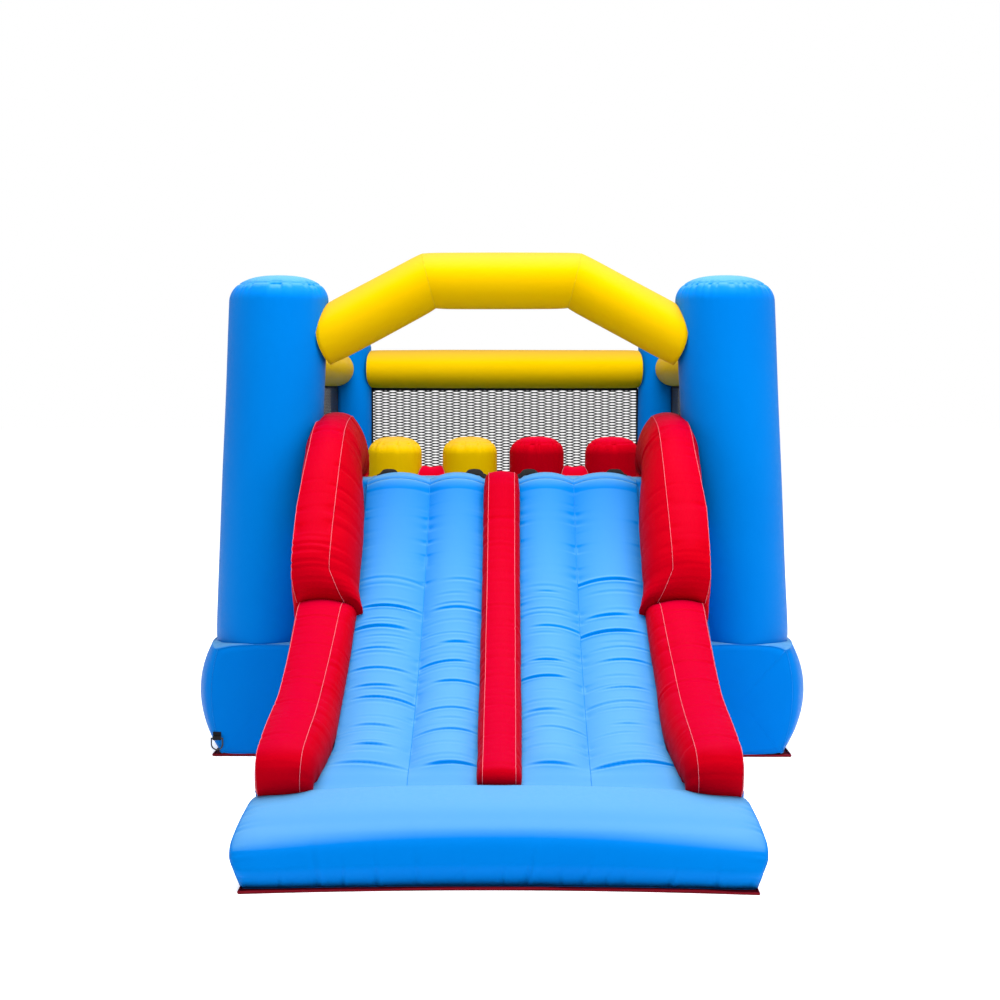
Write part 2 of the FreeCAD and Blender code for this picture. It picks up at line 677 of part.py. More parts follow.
# Upper walls: bolsters that stand on the slide body from the fold to the platform.
fold_gap = math.degrees(seam_gap / bed_radius)
fold_low = on_bed(lane_under, dim("wall_fold") + fold_gap)
fold_high = on_bed(dim("wall_rise") - dim("fold_notch"), dim("wall_fold") + fold_gap)
wall_top, wall_back = dim("wall_top"), plane + dim("wall_back")
knee = vec(0, plane - dim("knee_reach"), dim("knee_top"))
brow = vec(0, plane - dim("brow_reach"), dim("brow_top"))
brow_bend = vec(0, plane - dim("brow_reach") / 2, dim("brow_bend_top"))
summit = vec(0, wall_back - 2 * dim("wall_round"), wall_top)
shoulder_bend = vec(0, wall_back - dim("wall_round") / 2, wall_top - dim("wall_round") / 2)
shoulder = vec(0, wall_back, wall_top - 2 * dim("wall_round"))
wall_heel = vec(0, wall_back, dim("crest_top") + seam_gap)
wall_root = vec(0, platform_edge.y, fold_low.z)
bolster_outline = Part.Wire([
    Part.Arc(fold_high, on_bed(dim("fold_swell"), bed_angle(knee) - dim("fold_turn")), knee).toShape(),
    Part.makeLine(knee, brow),
    Part.Arc(brow, brow_bend, summit).toShape(),
    Part.Arc(summit, shoulder_bend, shoulder).toShape(),
    Part.makeLine(shoulder, wall_heel),
    Part.makeLine(wall_heel, wall_root),
    Part.makeLine(wall_root, fold_low),
    Part.makeLine(fold_low, fold_high),
])
body_tool = Part.Face(body_wire.makeOffset2D(seam_gap)).extrude(vec(wall_top, 0, 0))
body_tool.translate(vec(-wall_top / 2, 0, 0))
bolster_face = Part.Face(bolster_outline).cut(body_tool)
platform_shelf = Part.makeBox(
    wall_top, dim("landing_reach"), dim("crest_top") + seam_gap,
    vec(-wall_top / 2, platform_edge.y - seam_gap, 0),
)
bolster_wire = bolster_face.cut(platform_shelf).Faces[0].OuterWire
for side_name, side in SIDES:
    edges = sorted((side * (dim("slide_half") + seam_gap), side * dim("slide_outer")))
    across(f"slide_wall_upper_{side_name}", bolster_wire, *edges, beside_posts=True)


# ---- Climbing wall up the back slope, with a rail on each side
slope_top = vec(0, platform_edge.y + seam_gap, platform_edge.z)
slope_bottom = vec(0, slope_foot.y + seam_gap, slope_foot.z)
climb_depth = dim("climb_depth")
climb_wire = outline([
    (slope_top.y - plane, slope_top.z),
    (slope_top.y - plane + climb_depth, slope_top.z),
    (slope_bottom.y - plane + climb_depth, slope_bottom.z),
    (slope_bottom.y - plane, slope_bottom.z),
])
across("climbing_wall", climb_wire, -dim("slide_half"), dim("slide_half"))
rail_seam = dim("rail_top") - dim("rail_crown")
rail_front = wall_back + seam_gap
rail_back = slope_top.y + dim("rail_depth")
rail_wire = Part.Wire([
    Part.makeLine(slope_top, vec(0, rail_front, slope_top.z)),
    Part.makeLine(vec(0, rail_front, slope_top.z), vec(0, rail_front, rail_seam)),
    Part.Arc(
        vec(0, rail_front, rail_seam), vec(0, (rail_front + rail_back) / 2, dim("rail_top")),
        vec(0, rail_back, rail_seam),
    ).toShape(),
    Part.makeLine(vec(0, rail_back, rail_seam), slope_bottom + vec(0, dim("rail_depth"), 0)),
    Part.makeLine(slope_bottom + vec(0, dim("rail_depth"), 0), slope_bottom),
    Part.makeLine(slope_bottom, slope_top),
])
for side_name, side in SIDES:
    edges = sorted((side * (dim("slide_half") + seam_gap), side * dim("slide_body_half")))
    across(f"climb_rail_{side_name}", rail_wire, *edges)


# ---- Landing cushion across the foot of the slide
pillow_front = dim("landing_reach") - dim("pillow_bulge")
pillow_low_front = vec(0, plane - pillow_front, under)
pillow_low_back = vec(0, plane - dim("pillow_back"), under)
pillow_high_back = vec(0, plane - dim("pillow_back"), dim("pillow_top"))
pillow_high_front = vec(0, plane - pillow_front, dim("pillow_top"))
pillow_crest = vec(0, plane - (pillow_front + dim("pillow_back")) / 2,
                   dim("pillow_top") + dim("pillow_crown"))
pillow_nose = vec(0, plane - dim("landing_reach"), (under + dim("pillow_top")) / 2)
pillow_wire = Part.Wire([
    Part.makeLine(pillow_low_front, pillow_low_back),
    Part.makeLine(pillow_low_back, pillow_high_back),
    Part.Arc(pillow_high_back, pillow_crest, pillow_high_front).toShape(),
    Part.Arc(pillow_high_front, pillow_nose, pillow_low_front).toShape(),
])
pillow_half = dim("pillow_width") / 2
across("landing_pillow", pillow_wire, -pillow_half, pillow_half)


# ---- Sheets inside the slide body and the cushion hold their tops in shape
def inner_sheets(name, wire, places):
    sheets = []
    for i, x in enumerate(places):
        solid = Part.Face(wire.makeOffset2D(-skin - BAFFLE_CLEAR)).extrude(vec(skin / 2, 0, 0))
        solid.translate(vec(x - skin / 4, 0, 0))
        sheets.append(feature(f"{name}_{i}", solid))
    return sheets


body_places = [share * dim("slide_half") for share in (-1, -0.5, 0, 0.5, 1)]
pillow_places = [share * pillow_half for share in (-0.6, -0.2, 0.2, 0.6)]
keep("slide_baffles", group(
    "slide_baffles",
    *inner_sheets("body_sheet", body_wire, body_places),
    *inner_sheets("pillow_sheet", pillow_wire, pillow_places),
))


# ---- Obstacle pillars on the bounce floor, with a bolster between each pair
PILLAR_FOOT = "(Dims.floor_top + Dims.floor_crown + 2 * Dims.seam_gap)"
PILLAR_LINE = f"{PLANE} + Dims.pillar_reach"
for side_name, side in SIDES:
    for rank, spread in (("outer", "Dims.pillar_outer"), ("inner", "Dims.pillar_inner")):
        domed_tube(
            f"pillar_{rank}_{side_name}", "Dims.pillar_radius",
            f"Dims.pillar_top - {PILLAR_FOOT}", "Dims.pillar_cap",
            (f"{side} * {spread}", PILLAR_LINE, PILLAR_FOOT),
        )


def pillar_clearance(name, inset):
    grow = f"Dims.seam_gap + {inset} * Dims.skin"
    return fuse(name, *[
        primitive(
            "Cylinder", f"{name}_{i}",
            {"Radius": f"Dims.pillar_radius + {grow}", "Height": "Dims.pillar_top"},
            (at, PILLAR_LINE, "0"),
        )
        for i, at in enumerate((
            "-Dims.pillar_outer", "-Dims.pillar_inner", "Dims.pillar_inner", "Dims.pillar_outer",
        ))
    ])


def bolster_form(side):
    start = "-Dims.pillar_outer" if side < 0 else "Dims.pillar_inner"

    def build(name, inset):
        tube = primitive(
            "Cylinder", name + "_tube",
            {"Radius": f"Dims.bolster_radius - {inset} * Dims.skin",
             "Height": "Dims.pillar_outer - Dims.pillar_inner"},
            (start, PILLAR_LINE, "Dims.bolster_top - Dims.bolster_radius"), ALONG_X,
        )
        return cut(name, tube, pillar_clearance(name + "_pillars", inset))

    return build


for side_name, side in SIDES:
    hollow(f"cross_bolster_{side_name}", bolster_form(side))


# ---- Webbing grab handles on the crest
def handle(name, x):
    """A flat strap in a low arch, its two feet turned out on the platform."""
    deep = dim("webbing_depth")
    half, rise = dim("handle_span") / 2, dim("handle_rise")
    foot, shoulder = dim("handle_foot"), dim("handle_shoulder")
    outer = [(half + foot, 0), (half + foot, deep), (half + deep / 2, deep), (shoulder, rise),
             (-shoulder, rise), (-half - deep / 2, deep), (-half - foot, deep), (-half - foot, 0)]
    inner = [(-half, 0), (-shoulder, rise - deep), (shoulder, rise - deep), (half, 0)]
    corners = [vec(x + across_x, 0, up) for across_x, up in [*outer, *inner]]
    solid = Part.Face(Part.makePolygon([*corners, corners[0]])).extrude(
        vec(0, dim("handle_width"), 0)
    )
    solid.translate(vec(0, plane - dim("handle_reach"), dim("crest_top") + HAIR))
    return feature(name, solid)


keep("grab_handles", group(
    "grab_handles",
    *[handle(f"grab_handle_{i}", side * dim(spread)) for i, (side, spread) in enumerate((
        (-1, "handle_outer"), (-1, "handle_inner"), (1, "handle_inner"), (1, "handle_outer"),
    ))],
))

# ---- Anchor tabs at the four corners, each with a D-ring that hangs from its loop
FRONT_FACE = f"({PLANE} - Dims.base_reach - {HAIR})"
BACK_FACE = f"({BASE_BACK} + {HAIR})"
ANCHORS = (
    ("front_left", "-Dims.ring_corner", FRONT_FACE, -1),
    ("front_right", "Dims.ring_inward", FRONT_FACE, -1),
    ("back_left", "-Dims.ring_corner", BACK_FACE, 1),
    ("back_right", "Dims.ring_corner", BACK_FACE, 1),
)


def anchor_tab(name, x, face, way):
    """A webbing patch on a base tube, rolled into a loop at its lower end."""
    patch_low = face if way > 0 else f"{face} - Dims.webbing_depth"
    axis = (f"{x} - Dims.tab_width / 2", f"{face} + {way} * Dims.tab_loop", "Dims.ring_height")
    patch = primitive(
        "Box", name + "_patch",
        {"Length": "Dims.tab_width", "Width": "Dims.webbing_depth", "Height": "Dims.tab_height"},
        (f"{x} - Dims.tab_width / 2", patch_low, "Dims.ring_height"),
    )
    roll = primitive(
        "Cylinder", name + "_roll",
        {"Radius": "Dims.tab_loop", "Height": "Dims.tab_width"}, axis, ALONG_X,
    )
    bore = primitive(
        "Cylinder", name + "_bore",
        {"Radius": "Dims.tab_bore", "Height": "Dims.tab_width"}, axis, ALONG_X,
    )
    return cut(name, fuse(name + "_webbing", patch, roll), bore)


def anchor_ring(label, x, face, way):
    """A D-ring: a straight bar through the loop, two sides and a half circle below."""
    axis_y = f"{face} + {way} * Dims.tab_loop"
    wire = {"Radius": "Dims.ring_wire"}
    bar = primitive(
        "Cylinder", label + "_bar", {**wire, "Height": "2 * Dims.ring_half"},
        (f"{x} - Dims.ring_half", axis_y, "Dims.ring_height"), ALONG_X,
    )
    solids = [bar]
    for i, side in enumerate(("-1", "1")):
        at = (f"{x} + {side} * Dims.ring_half", axis_y)
        solids.append(primitive(
            "Cylinder", f"{label}_side_{i}", {**wire, "Height": "Dims.ring_side"},
            (*at, "Dims.ring_height - Dims.ring_side"),
        ))
        solids.append(primitive("Sphere", f"{label}_corner_{i}", wire, (*at, "Dims.ring_height")))
    bow = primitive(
        "Torus", label + "_bow",
        {"Radius1": "Dims.ring_half", "Radius2": "Dims.ring_wire", "Angle3": "180"},
        (x, axis_y, "Dims.ring_height - Dims.ring_side"), FreeCAD.Rotation(X_AXIS, -90),
    )
    return keep(label, fuse(label, *solids, bow))


keep("anchor_tabs", group(
    "anchor_tabs", *[anchor_tab(f"anchor_tab_{name}", *where) for name, *where in ANCHORS]
))
for name, *where in ANCHORS:
    anchor_ring(f"anchor_ring_{name}", *where)


# ---- Deflation zip low on the back of the base
TAPE_HEIGHT = 34
TEETH_HEIGHT = 6
TAPE_DEPTH = 2
ZIP_START = "(Dims.zip_middle - Dims.zip_length / 2)"
tape = primitive(
    "Box", "zip_backing",
    {"Length": "Dims.zip_length", "Width": str(TAPE_DEPTH), "Height": str(TAPE_HEIGHT)},
    (ZIP_START, BACK_FACE, f"Dims.zip_height - {TAPE_HEIGHT / 2}"),
)
teeth = primitive(
    "Box", "zip_teeth",
    {"Length": "Dims.zip_length", "Width": str(TAPE_DEPTH), "Height": str(TEETH_HEIGHT)},
    (ZIP_START, f"{BACK_FACE} + {TAPE_DEPTH}",
     f"Dims.zip_height - {TEETH_HEIGHT / 2}"),
)
keep("zip_tape", fuse("zip_tape", tape, teeth))
SLIDER_LENGTH = 18
SLIDER_HEIGHT = 14
SLIDER_DEPTH = 7
SLIDER_START = 4
PULL_WIDTH = 8
PULL_DEPTH = 2.5
PULL_LENGTH = 38
slider_face = f"({BACK_FACE} + {TAPE_DEPTH} + {HAIR})"
slider_at = f"{ZIP_START} + {SLIDER_START}"
slider_block = primitive(
    "Box", "slider_block",
    {"Length": str(SLIDER_LENGTH), "Width": str(SLIDER_DEPTH), "Height": str(SLIDER_HEIGHT)},
    (slider_at, slider_face, f"Dims.zip_height - {SLIDER_HEIGHT / 2}"),
)
slider_groove = primitive(
    "Box", "slider_groove",
    {"Length": str(SLIDER_LENGTH), "Width": str(TAPE_DEPTH + HAIR),
     "Height": str(TEETH_HEIGHT + 2 * HAIR)},
    (slider_at, slider_face, f"Dims.zip_height - {TEETH_HEIGHT / 2 + HAIR}"),
)
pull = primitive(
    "Box", "slider_pull",
    {"Length": str(PULL_WIDTH), "Width": str(PULL_DEPTH), "Height": str(PULL_LENGTH)},
    (f"{slider_at} + {(SLIDER_LENGTH - PULL_WIDTH) / 2}",
     f"{slider_face} + {SLIDER_DEPTH - PULL_DEPTH}",
     f"Dims.zip_height - {PULL_LENGTH + TEETH_HEIGHT / 2 + 2 * HAIR}"),
)
keep("zip_slider", fuse("zip_slider", cut("slider_body", slider_block, slider_groove), pull))

# ---- Inlet sleeve behind the base, and the strap that ties it to the blower
SLEEVE_X = "-Dims.sleeve_side"
sleeve_at = (SLEEVE_X, f"{BASE_BACK} + Dims.seam_gap", "Dims.sleeve_height")
sleeve_outer = primitive(
    "Cylinder", "sleeve_outer",
    {"Radius": "Dims.sleeve_radius", "Height": "Dims.sleeve_length"}, sleeve_at, ALONG_Y,
)
sleeve_inner = primitive(
    "Cylinder", "sleeve_inner",
    {"Radius": "Dims.sleeve_radius - Dims.skin", "Height": "Dims.sleeve_length"},
    sleeve_at, ALONG_Y,
)
keep("inlet_sleeve", cut("inlet_sleeve", sleeve_outer, sleeve_inner))
BUCKLE_LENGTH = 44
BUCKLE_DEPTH = 8
BUCKLE_MARGIN = 4
STRAP_START = f"({BASE_BACK} + Dims.sleeve_length - 2 * Dims.sleeve_strap)"
strap_at = (SLEEVE_X, STRAP_START, "Dims.sleeve_height")
strap_outer = primitive(
    "Cylinder", "strap_outer",
    {"Radius": f"Dims.sleeve_radius + {HAIR} + Dims.webbing_depth", "Height": "Dims.sleeve_strap"},
    strap_at, ALONG_Y,
)
strap_inner = primitive(
    "Cylinder", "strap_inner",
    {"Radius": f"Dims.sleeve_radius + {HAIR}", "Height": "Dims.sleeve_strap"}, strap_at, ALONG_Y,
)
buckle = primitive(
    "Box", "strap_buckle",
    {"Length": str(BUCKLE_LENGTH), "Width": f"Dims.sleeve_strap + 2 * {BUCKLE_MARGIN}",
     "Height": str(BUCKLE_DEPTH)},
    (f"{SLEEVE_X} - {BUCKLE_LENGTH / 2}", f"{STRAP_START} - {BUCKLE_MARGIN}",
     "Dims.sleeve_height + Dims.sleeve_radius + Dims.webbing_depth / 2"),
)
keep("sleeve_strap", cut("sleeve_strap", fuse("strap_and_buckle", strap_outer, buckle), strap_inner))

# ---- Blower: a two-part volute with its axis along X and its outlet towards the house
BLOWER_Y = "(Dims.total_length / 2 - Dims.volute_radius)"
BLOWER_AXIS = (SLEEVE_X, BLOWER_Y, "Dims.blower_height")
OUTLET_MOUTH = f"({BASE_BACK} + Dims.seam_gap + Dims.sleeve_length - Dims.outlet_overlap)"
DUCT_RADIUS = f"(Dims.sleeve_radius - Dims.skin - {HAIR})"
DUCT_LENGTH = f"({BLOWER_Y} - {OUTLET_MOUTH})"


def on_axis(kind, name, sizes, offset, turn=ALONG_X):
    """A primitive on the blower's axis, offset along X from the housing's middle."""
    at = (f"{SLEEVE_X} + {offset}", BLOWER_Y, "Dims.blower_height")
    return primitive(kind, name, sizes, at, turn)


def drum(name, radius, length, offset):
    return on_axis("Cylinder", name, {"Radius": radius, "Height": length}, offset)


def volute_form(name, wall):
    """The volute and its outlet duct, drawn in by wall."""
    body = drum(
        name + "_drum", f"Dims.volute_radius - {wall}", f"Dims.volute_width - 2 * ({wall})",
        f"(-Dims.volute_width / 2 + {wall})",
    )
    duct = primitive(
        "Cylinder", name + "_duct",
        {"Radius": f"{DUCT_RADIUS} - {wall}",
         "Height": DUCT_LENGTH},
        (SLEEVE_X, OUTLET_MOUTH, "Dims.sleeve_height"), ALONG_Y,
    )
    return fuse(name, body, duct)


def housing_half(label, side, opening):
    """One side of the volute shell, less that side's opening or screw holes."""
    shell = cut(label + "_shell", volute_form(label + "_outer", "0"),
                volute_form(label + "_inner", "Dims.volute_wall"))
    start = "Dims.volute_split / 2" if side > 0 else "-Dims.volute_split / 2 - Dims.volute_width"
    half = primitive(
        "Box", label + "_half",
        {"Length": "Dims.volute_width", "Width": "Dims.total_length",
         "Height": "4 * Dims.volute_radius"},
        (f"{SLEEVE_X} + {start}", "0", "0"),
    )
    return keep(label, cut(label, common(label + "_side", shell, half), opening))


SCREWS = 6
FIRST_SCREW = 30
SCREW_HEAD_DEPTH = 3
screw_turns = [FIRST_SCREW + 360 / SCREWS * i for i in range(SCREWS)]


def screw_drums(name, radius, length, offset):
    """One drum for each screw, on the screw circle."""
    return [
        primitive(
            "Cylinder", f"{name}_{i}", {"Radius": radius, "Height": length},
            (f"{SLEEVE_X} + {offset}", f"{BLOWER_Y} + Dims.screw_circle * cos({turn} * 1 deg)",
             f"Dims.blower_height + Dims.screw_circle * sin({turn} * 1 deg)"), ALONG_X,
        )
        for i, turn in enumerate(screw_turns)
    ]


housing_half("blower_housing_left", -1, drum(
    "inlet_cut", "Dims.inlet_radius", "2 * Dims.volute_wall",
    "(-Dims.volute_width / 2 - Dims.volute_wall / 2)",
))
housing_half("blower_housing_right", 1, fuse("screw_holes", *screw_drums(
    "screw_hole", f"Dims.screw_shank + {HAIR}", "2 * Dims.volute_wall",
    "Dims.volute_width / 2 - 1.5 * Dims.volute_wall",
)))
heads = screw_drums("screw_head", "Dims.screw_head", str(SCREW_HEAD_DEPTH),
                    f"Dims.volute_width / 2 + {HAIR}")
shanks = screw_drums("screw_shank", "Dims.screw_shank", f"3 * Dims.volute_wall + {HAIR}",
                     "Dims.volute_width / 2 - 3 * Dims.volute_wall")
keep("housing_screws", group(
    "housing_screws",
    *[fuse(f"housing_screw_{i}", head, shank) for i, (head, shank) in enumerate(zip(heads, shanks))],
))

# Grille over the air inlet: rings joined by bars.
GRILLE_WIRE = 3
GRILLE_RINGS = 5
GRILLE_BARS = 3
GRILLE_INNER = 22
GRILLE_STEP = 18
grille_outer = GRILLE_INNER + GRILLE_STEP * (GRILLE_RINGS - 1)
grille_offset = f"(-Dims.volute_width / 2 - {GRILLE_WIRE} - {HAIR})"
grille_rings = [
    on_axis("Torus", f"grille_ring_{i}",
            {"Radius1": str(GRILLE_INNER + GRILLE_STEP * i), "Radius2": str(GRILLE_WIRE)},
            grille_offset)
    for i in range(GRILLE_RINGS)
]
grille_bars = [
    on_axis("Cylinder", f"grille_bar_{i}",
            {"Radius": f"0.8 * {GRILLE_WIRE}", "Height": str(2 * grille_outer)}, grille_offset,
            FreeCAD.Rotation(X_AXIS, 180 / GRILLE_BARS * i))
    for i in range(GRILLE_BARS)
]
for i, bar in enumerate(grille_bars):
    turn = f"{180 / GRILLE_BARS * i} * 1 deg"
    bar.setExpression("Placement.Base.y", f"{BLOWER_Y} + {grille_outer} * sin({turn})")
    bar.setExpression("Placement.Base.z", f"Dims.blower_height - {grille_outer} * cos({turn})")
keep("intake_grille", fuse("intake_grille", *grille_rings, *grille_bars))

# Feet: two blocks cut to the round underside of the volute.
feet = [
    primitive(
        "Box", f"foot_{i}",
        {"Length": "Dims.foot_width", "Width": "Dims.foot_length", "Height": "Dims.foot_height"},
        (f"{SLEEVE_X} - Dims.foot_width / 2",
         f"{BLOWER_Y} + {way} * Dims.foot_spread - Dims.foot_length / 2", "0"),
    )
    for i, way in enumerate(("-1", "1"))
]
saddle = fuse(
    "saddle",
    drum("saddle_drum", f"Dims.volute_radius + {HAIR}", "2 * Dims.volute_width",
         "(-Dims.volute_width)"),
    primitive(
        "Cylinder", "saddle_duct",
        {"Radius": f"{DUCT_RADIUS} + {HAIR}", "Height": DUCT_LENGTH},
        (SLEEVE_X, OUTLET_MOUTH, "Dims.sleeve_height"), ALONG_Y,
    ),
)
keep("blower_feet", cut("blower_feet", group("feet_blocks", *feet), saddle))

# Carrying handle on top of the housing.
CARRY_TOP = "(Dims.blower_height + Dims.volute_radius + Dims.carry_rise)"
carry_bar = primitive(
    "Cylinder", "carry_bar",
    {"Radius": "Dims.carry_radius", "Height": "Dims.carry_span"},
    (f"{SLEEVE_X} - Dims.carry_span / 2", BLOWER_Y, CARRY_TOP), ALONG_X,
)
carry_legs = [
    primitive(
        "Cylinder", f"carry_leg_{i}",
        {"Radius": "Dims.carry_radius", "Height": "Dims.carry_rise + Dims.volute_wall"},
        (f"{SLEEVE_X} + {way} * Dims.carry_span / 2", BLOWER_Y,
         f"{CARRY_TOP} - Dims.carry_rise - Dims.volute_wall"),
    )
    for i, way in enumerate(("-1", "1"))
]
carry_corners = [
    primitive(
        "Sphere", f"carry_corner_{i}", {"Radius": "Dims.carry_radius"},
        (f"{SLEEVE_X} + {way} * Dims.carry_span / 2", BLOWER_Y, CARRY_TOP),
    )
    for i, way in enumerate(("-1", "1"))
]
keep("carry_handle", cut(
    "carry_handle", fuse("carry_bail", carry_bar, *carry_legs, *carry_corners),
    drum("carry_clearance", f"Dims.volute_radius + {HAIR}", "2 * Dims.volute_width",
         "(-Dims.volute_width)"),
))

# Motor inside the right half, and the shaft that carries the impeller.
BEARING_LENGTH = 63
BEARING_CLEAR = 0.05
SHAFT_START = "(Dims.impeller_offset - Dims.hub_length)"
MOTOR_START = "(Dims.volute_width / 2 - Dims.volute_wall - Dims.motor_length)"
motor_body = drum("motor_body", "Dims.motor_radius", f"Dims.motor_length - {HAIR}", MOTOR_START)
motor_bore = drum("motor_bore", f"Dims.shaft_radius + {BEARING_CLEAR}", str(BEARING_LENGTH),
                  MOTOR_START)
keep("blower_motor", cut("blower_motor", motor_body, motor_bore))
keep("motor_shaft", drum("motor_shaft", "Dims.shaft_radius", "Dims.shaft_length", SHAFT_START))


# ---- Impeller: back plate with a hub, a ring of blades and a front ring
impeller = doc.addObject("PartDesign::Body", "impeller")


def plane_of(body, role):
    return next(item for item in body.Origin.OriginFeatures if item.Role == role)


def flat_sketch(name, body, offset=None):
    sketch = body.newObject("Sketcher::SketchObject", name)
    sketch.AttachmentSupport = [(plane_of(body, "XY_Plane"), "")]
    sketch.MapMode = "FlatFace"
    if offset:
        sketch.setExpression("AttachmentOffset.Base.z", offset)
    return sketch


def circle_on(sketch, radius):
    """A circle about the sketch's origin with its radius bound to the sheet."""
    i = sketch.addGeometry(Part.Circle(vec(0, 0, 0), Z_AXIS, 1 + sketch.GeometryCount), False)
    sketch.addConstraint(Sketcher.Constraint("Coincident", i, 3, -1, 1))
    j = sketch.addConstraint(Sketcher.Constraint("Radius", i, 1 + sketch.GeometryCount))
    sketch.setExpression(f"Constraints[{j}]", radius)


def pad(body, name, sketch, length):
    result = body.newObject("PartDesign::Pad", name)
    result.Profile = sketch
    result.setExpression("Length", length)
    return result


plate_sketch = flat_sketch("plate_sketch", impeller)
circle_on(plate_sketch, "Dims.impeller_radius")
circle_on(plate_sketch, "Dims.shaft_radius")
pad(impeller, "back_plate", plate_sketch, "Dims.impeller_plate")
hub_sketch = flat_sketch("hub_sketch", impeller)
circle_on(hub_sketch, "Dims.hub_radius")
circle_on(hub_sketch, "Dims.shaft_radius")
pad(impeller, "hub", hub_sketch, "Dims.hub_length")
ring_sketch = flat_sketch("ring_sketch", impeller, "Dims.impeller_width - Dims.impeller_plate")
circle_on(ring_sketch, "Dims.impeller_radius")
circle_on(ring_sketch, "Dims.impeller_radius - Dims.blade_length - 2 * Dims.blade_margin")

# One blade, leaning forward, then the rest by a polar pattern.
blade_sketch = flat_sketch("blade_sketch", impeller)
blade_low = dim("impeller_radius") - dim("blade_length")
blade_high = dim("impeller_radius") - dim("blade_margin")
blade_half = dim("blade_depth") / 2
lean = dim("blade_lean")
corners = [(blade_low, -blade_half), (blade_high, lean - blade_half),
           (blade_high, lean + blade_half), (blade_low, blade_half)]
for (x0, y0), (x1, y1) in zip(corners, corners[1:] + corners[:1]):
    blade_sketch.addGeometry(Part.LineSegment(vec(x0, y0, 0), vec(x1, y1, 0)), False)
for i in range(4):
    blade_sketch.addConstraint(Sketcher.Constraint("Coincident", i, 2, (i + 1) % 4, 1))
BLADE_CONSTRAINTS = (
    ("DistanceX", 0, "Dims.impeller_radius - Dims.blade_length"),
    ("DistanceX", 1, "Dims.impeller_radius - Dims.blade_margin"),
)
for kind, corner, expression in BLADE_CONSTRAINTS:
    value = corners[corner][0]
    j = blade_sketch.addConstraint(Sketcher.Constraint(kind, -1, 1, corner, 1, value))
    blade_sketch.setExpression(f"Constraints[{j}]", expression)
blade = pad(impeller, "blade", blade_sketch, "Dims.impeller_width")
doc.recompute()
blades = impeller.newObject("PartDesign::PolarPattern", "blades")
blades.Originals = [blade]
blades.Axis = (plane_of(impeller, "Z_Axis"), [""])
blades.Angle = 360
blades.setExpression("Occurrences", "Dims.impeller_blades")
impeller.Tip = blades
pad(impeller, "front_ring", ring_sketch, "Dims.impeller_plate")
place(impeller, (f"{SLEEVE_X} + Dims.impeller_offset", BLOWER_Y, "Dims.blower_height"),
      FreeCAD.Rotation(Y_AXIS, -90))
keep("impeller", impeller)


# ---- Switch box on the right side of the housing, with its rocker and a cable gland
BOX_FACE = f"({SLEEVE_X} + Dims.volute_width / 2 + {HAIR})"
box_block = primitive(
    "Box", "switch_block",
    {"Length": "Dims.switch_box_depth", "Width": "Dims.switch_box_width",
     "Height": "Dims.switch_box_height"},
    (BOX_FACE, f"{BLOWER_Y} - Dims.switch_box_width / 2",
     "Dims.blower_height - Dims.switch_box_height / 2"),
)
POCKET_CLEAR = 1
pocket = primitive(
    "Box", "switch_pocket",
    {"Length": "Dims.switch_pocket", "Width": f"Dims.rocker_width + 2 * {POCKET_CLEAR}",
     "Height": f"Dims.rocker_length + 4 * {POCKET_CLEAR}"},
    (f"{BOX_FACE} + Dims.switch_box_depth - Dims.switch_pocket",
     f"{BLOWER_Y} - Dims.rocker_width / 2 - {POCKET_CLEAR}",
     f"Dims.blower_height - Dims.rocker_length / 2 - 2 * {POCKET_CLEAR}"),
)
PIVOT_X = f"{BOX_FACE} + Dims.switch_box_depth - Dims.rocker_depth"


def pivot_drum(name, clear):
    """A cylinder on the rocker's pivot axis, larger than its pin by clear."""
    half = f"(Dims.rocker_width / 2 + Dims.rocker_pin_reach + {clear})"
    return primitive(
        "Cylinder", name, {"Radius": f"Dims.rocker_pin + {clear}", "Height": f"2 * {half}"},
        (PIVOT_X, f"{BLOWER_Y} - {half}", "Dims.blower_height"), ALONG_Y,
    )


keep("switch_box", cut(
    "switch_box", box_block, fuse("rocker_room", pocket, pivot_drum("pivot_bore", HAIR)),
))

# The rocker is drawn about its pivot: a narrow root, two shoulders and a dished face.
rocker_half, rocker_side = dim("rocker_length") / 2, -dim("rocker_width") / 2
root, ledge, lip = dim("rocker_root"), dim("rocker_ledge"), dim("rocker_lip")
lip_half = rocker_half - ledge / 2
rocker_outline = [
    (-root, -root), (-root, root), (ledge, rocker_half), (lip, lip_half), (lip - ledge, 0),
    (lip, -lip_half), (ledge, -rocker_half),
]
rocker_corners = [vec(out, rocker_side, up) for out, up in rocker_outline]
rocker_cap = feature("rocker_cap", Part.Face(
    Part.makePolygon([*rocker_corners, rocker_corners[0]])
).extrude(vec(0, dim("rocker_width"), 0)))
place(rocker_cap, (PIVOT_X, BLOWER_Y, "Dims.blower_height"),
      FreeCAD.Rotation(Y_AXIS, -dim("rocker_tilt")))
keep("power_rocker", fuse("power_rocker", rocker_cap, pivot_drum("pivot_pin", "0")))

GLAND_FOOT = f"Dims.blower_height - Dims.switch_box_height / 2 - {HAIR} - Dims.gland_length"
gland_at = (f"{BOX_FACE} + Dims.switch_box_depth / 2", BLOWER_Y, GLAND_FOOT)
gland_body = primitive(
    "Cylinder", "gland_body", {"Radius": "Dims.gland_radius", "Height": "Dims.gland_length"},
    gland_at,
)
gland_bore = primitive(
    "Cylinder", "gland_bore", {"Radius": "Dims.gland_bore", "Height": "Dims.gland_bore_length"},
    gland_at,
)
keep("cable_gland", cut("cable_gland", gland_body, gland_bore))

doc.recompute()

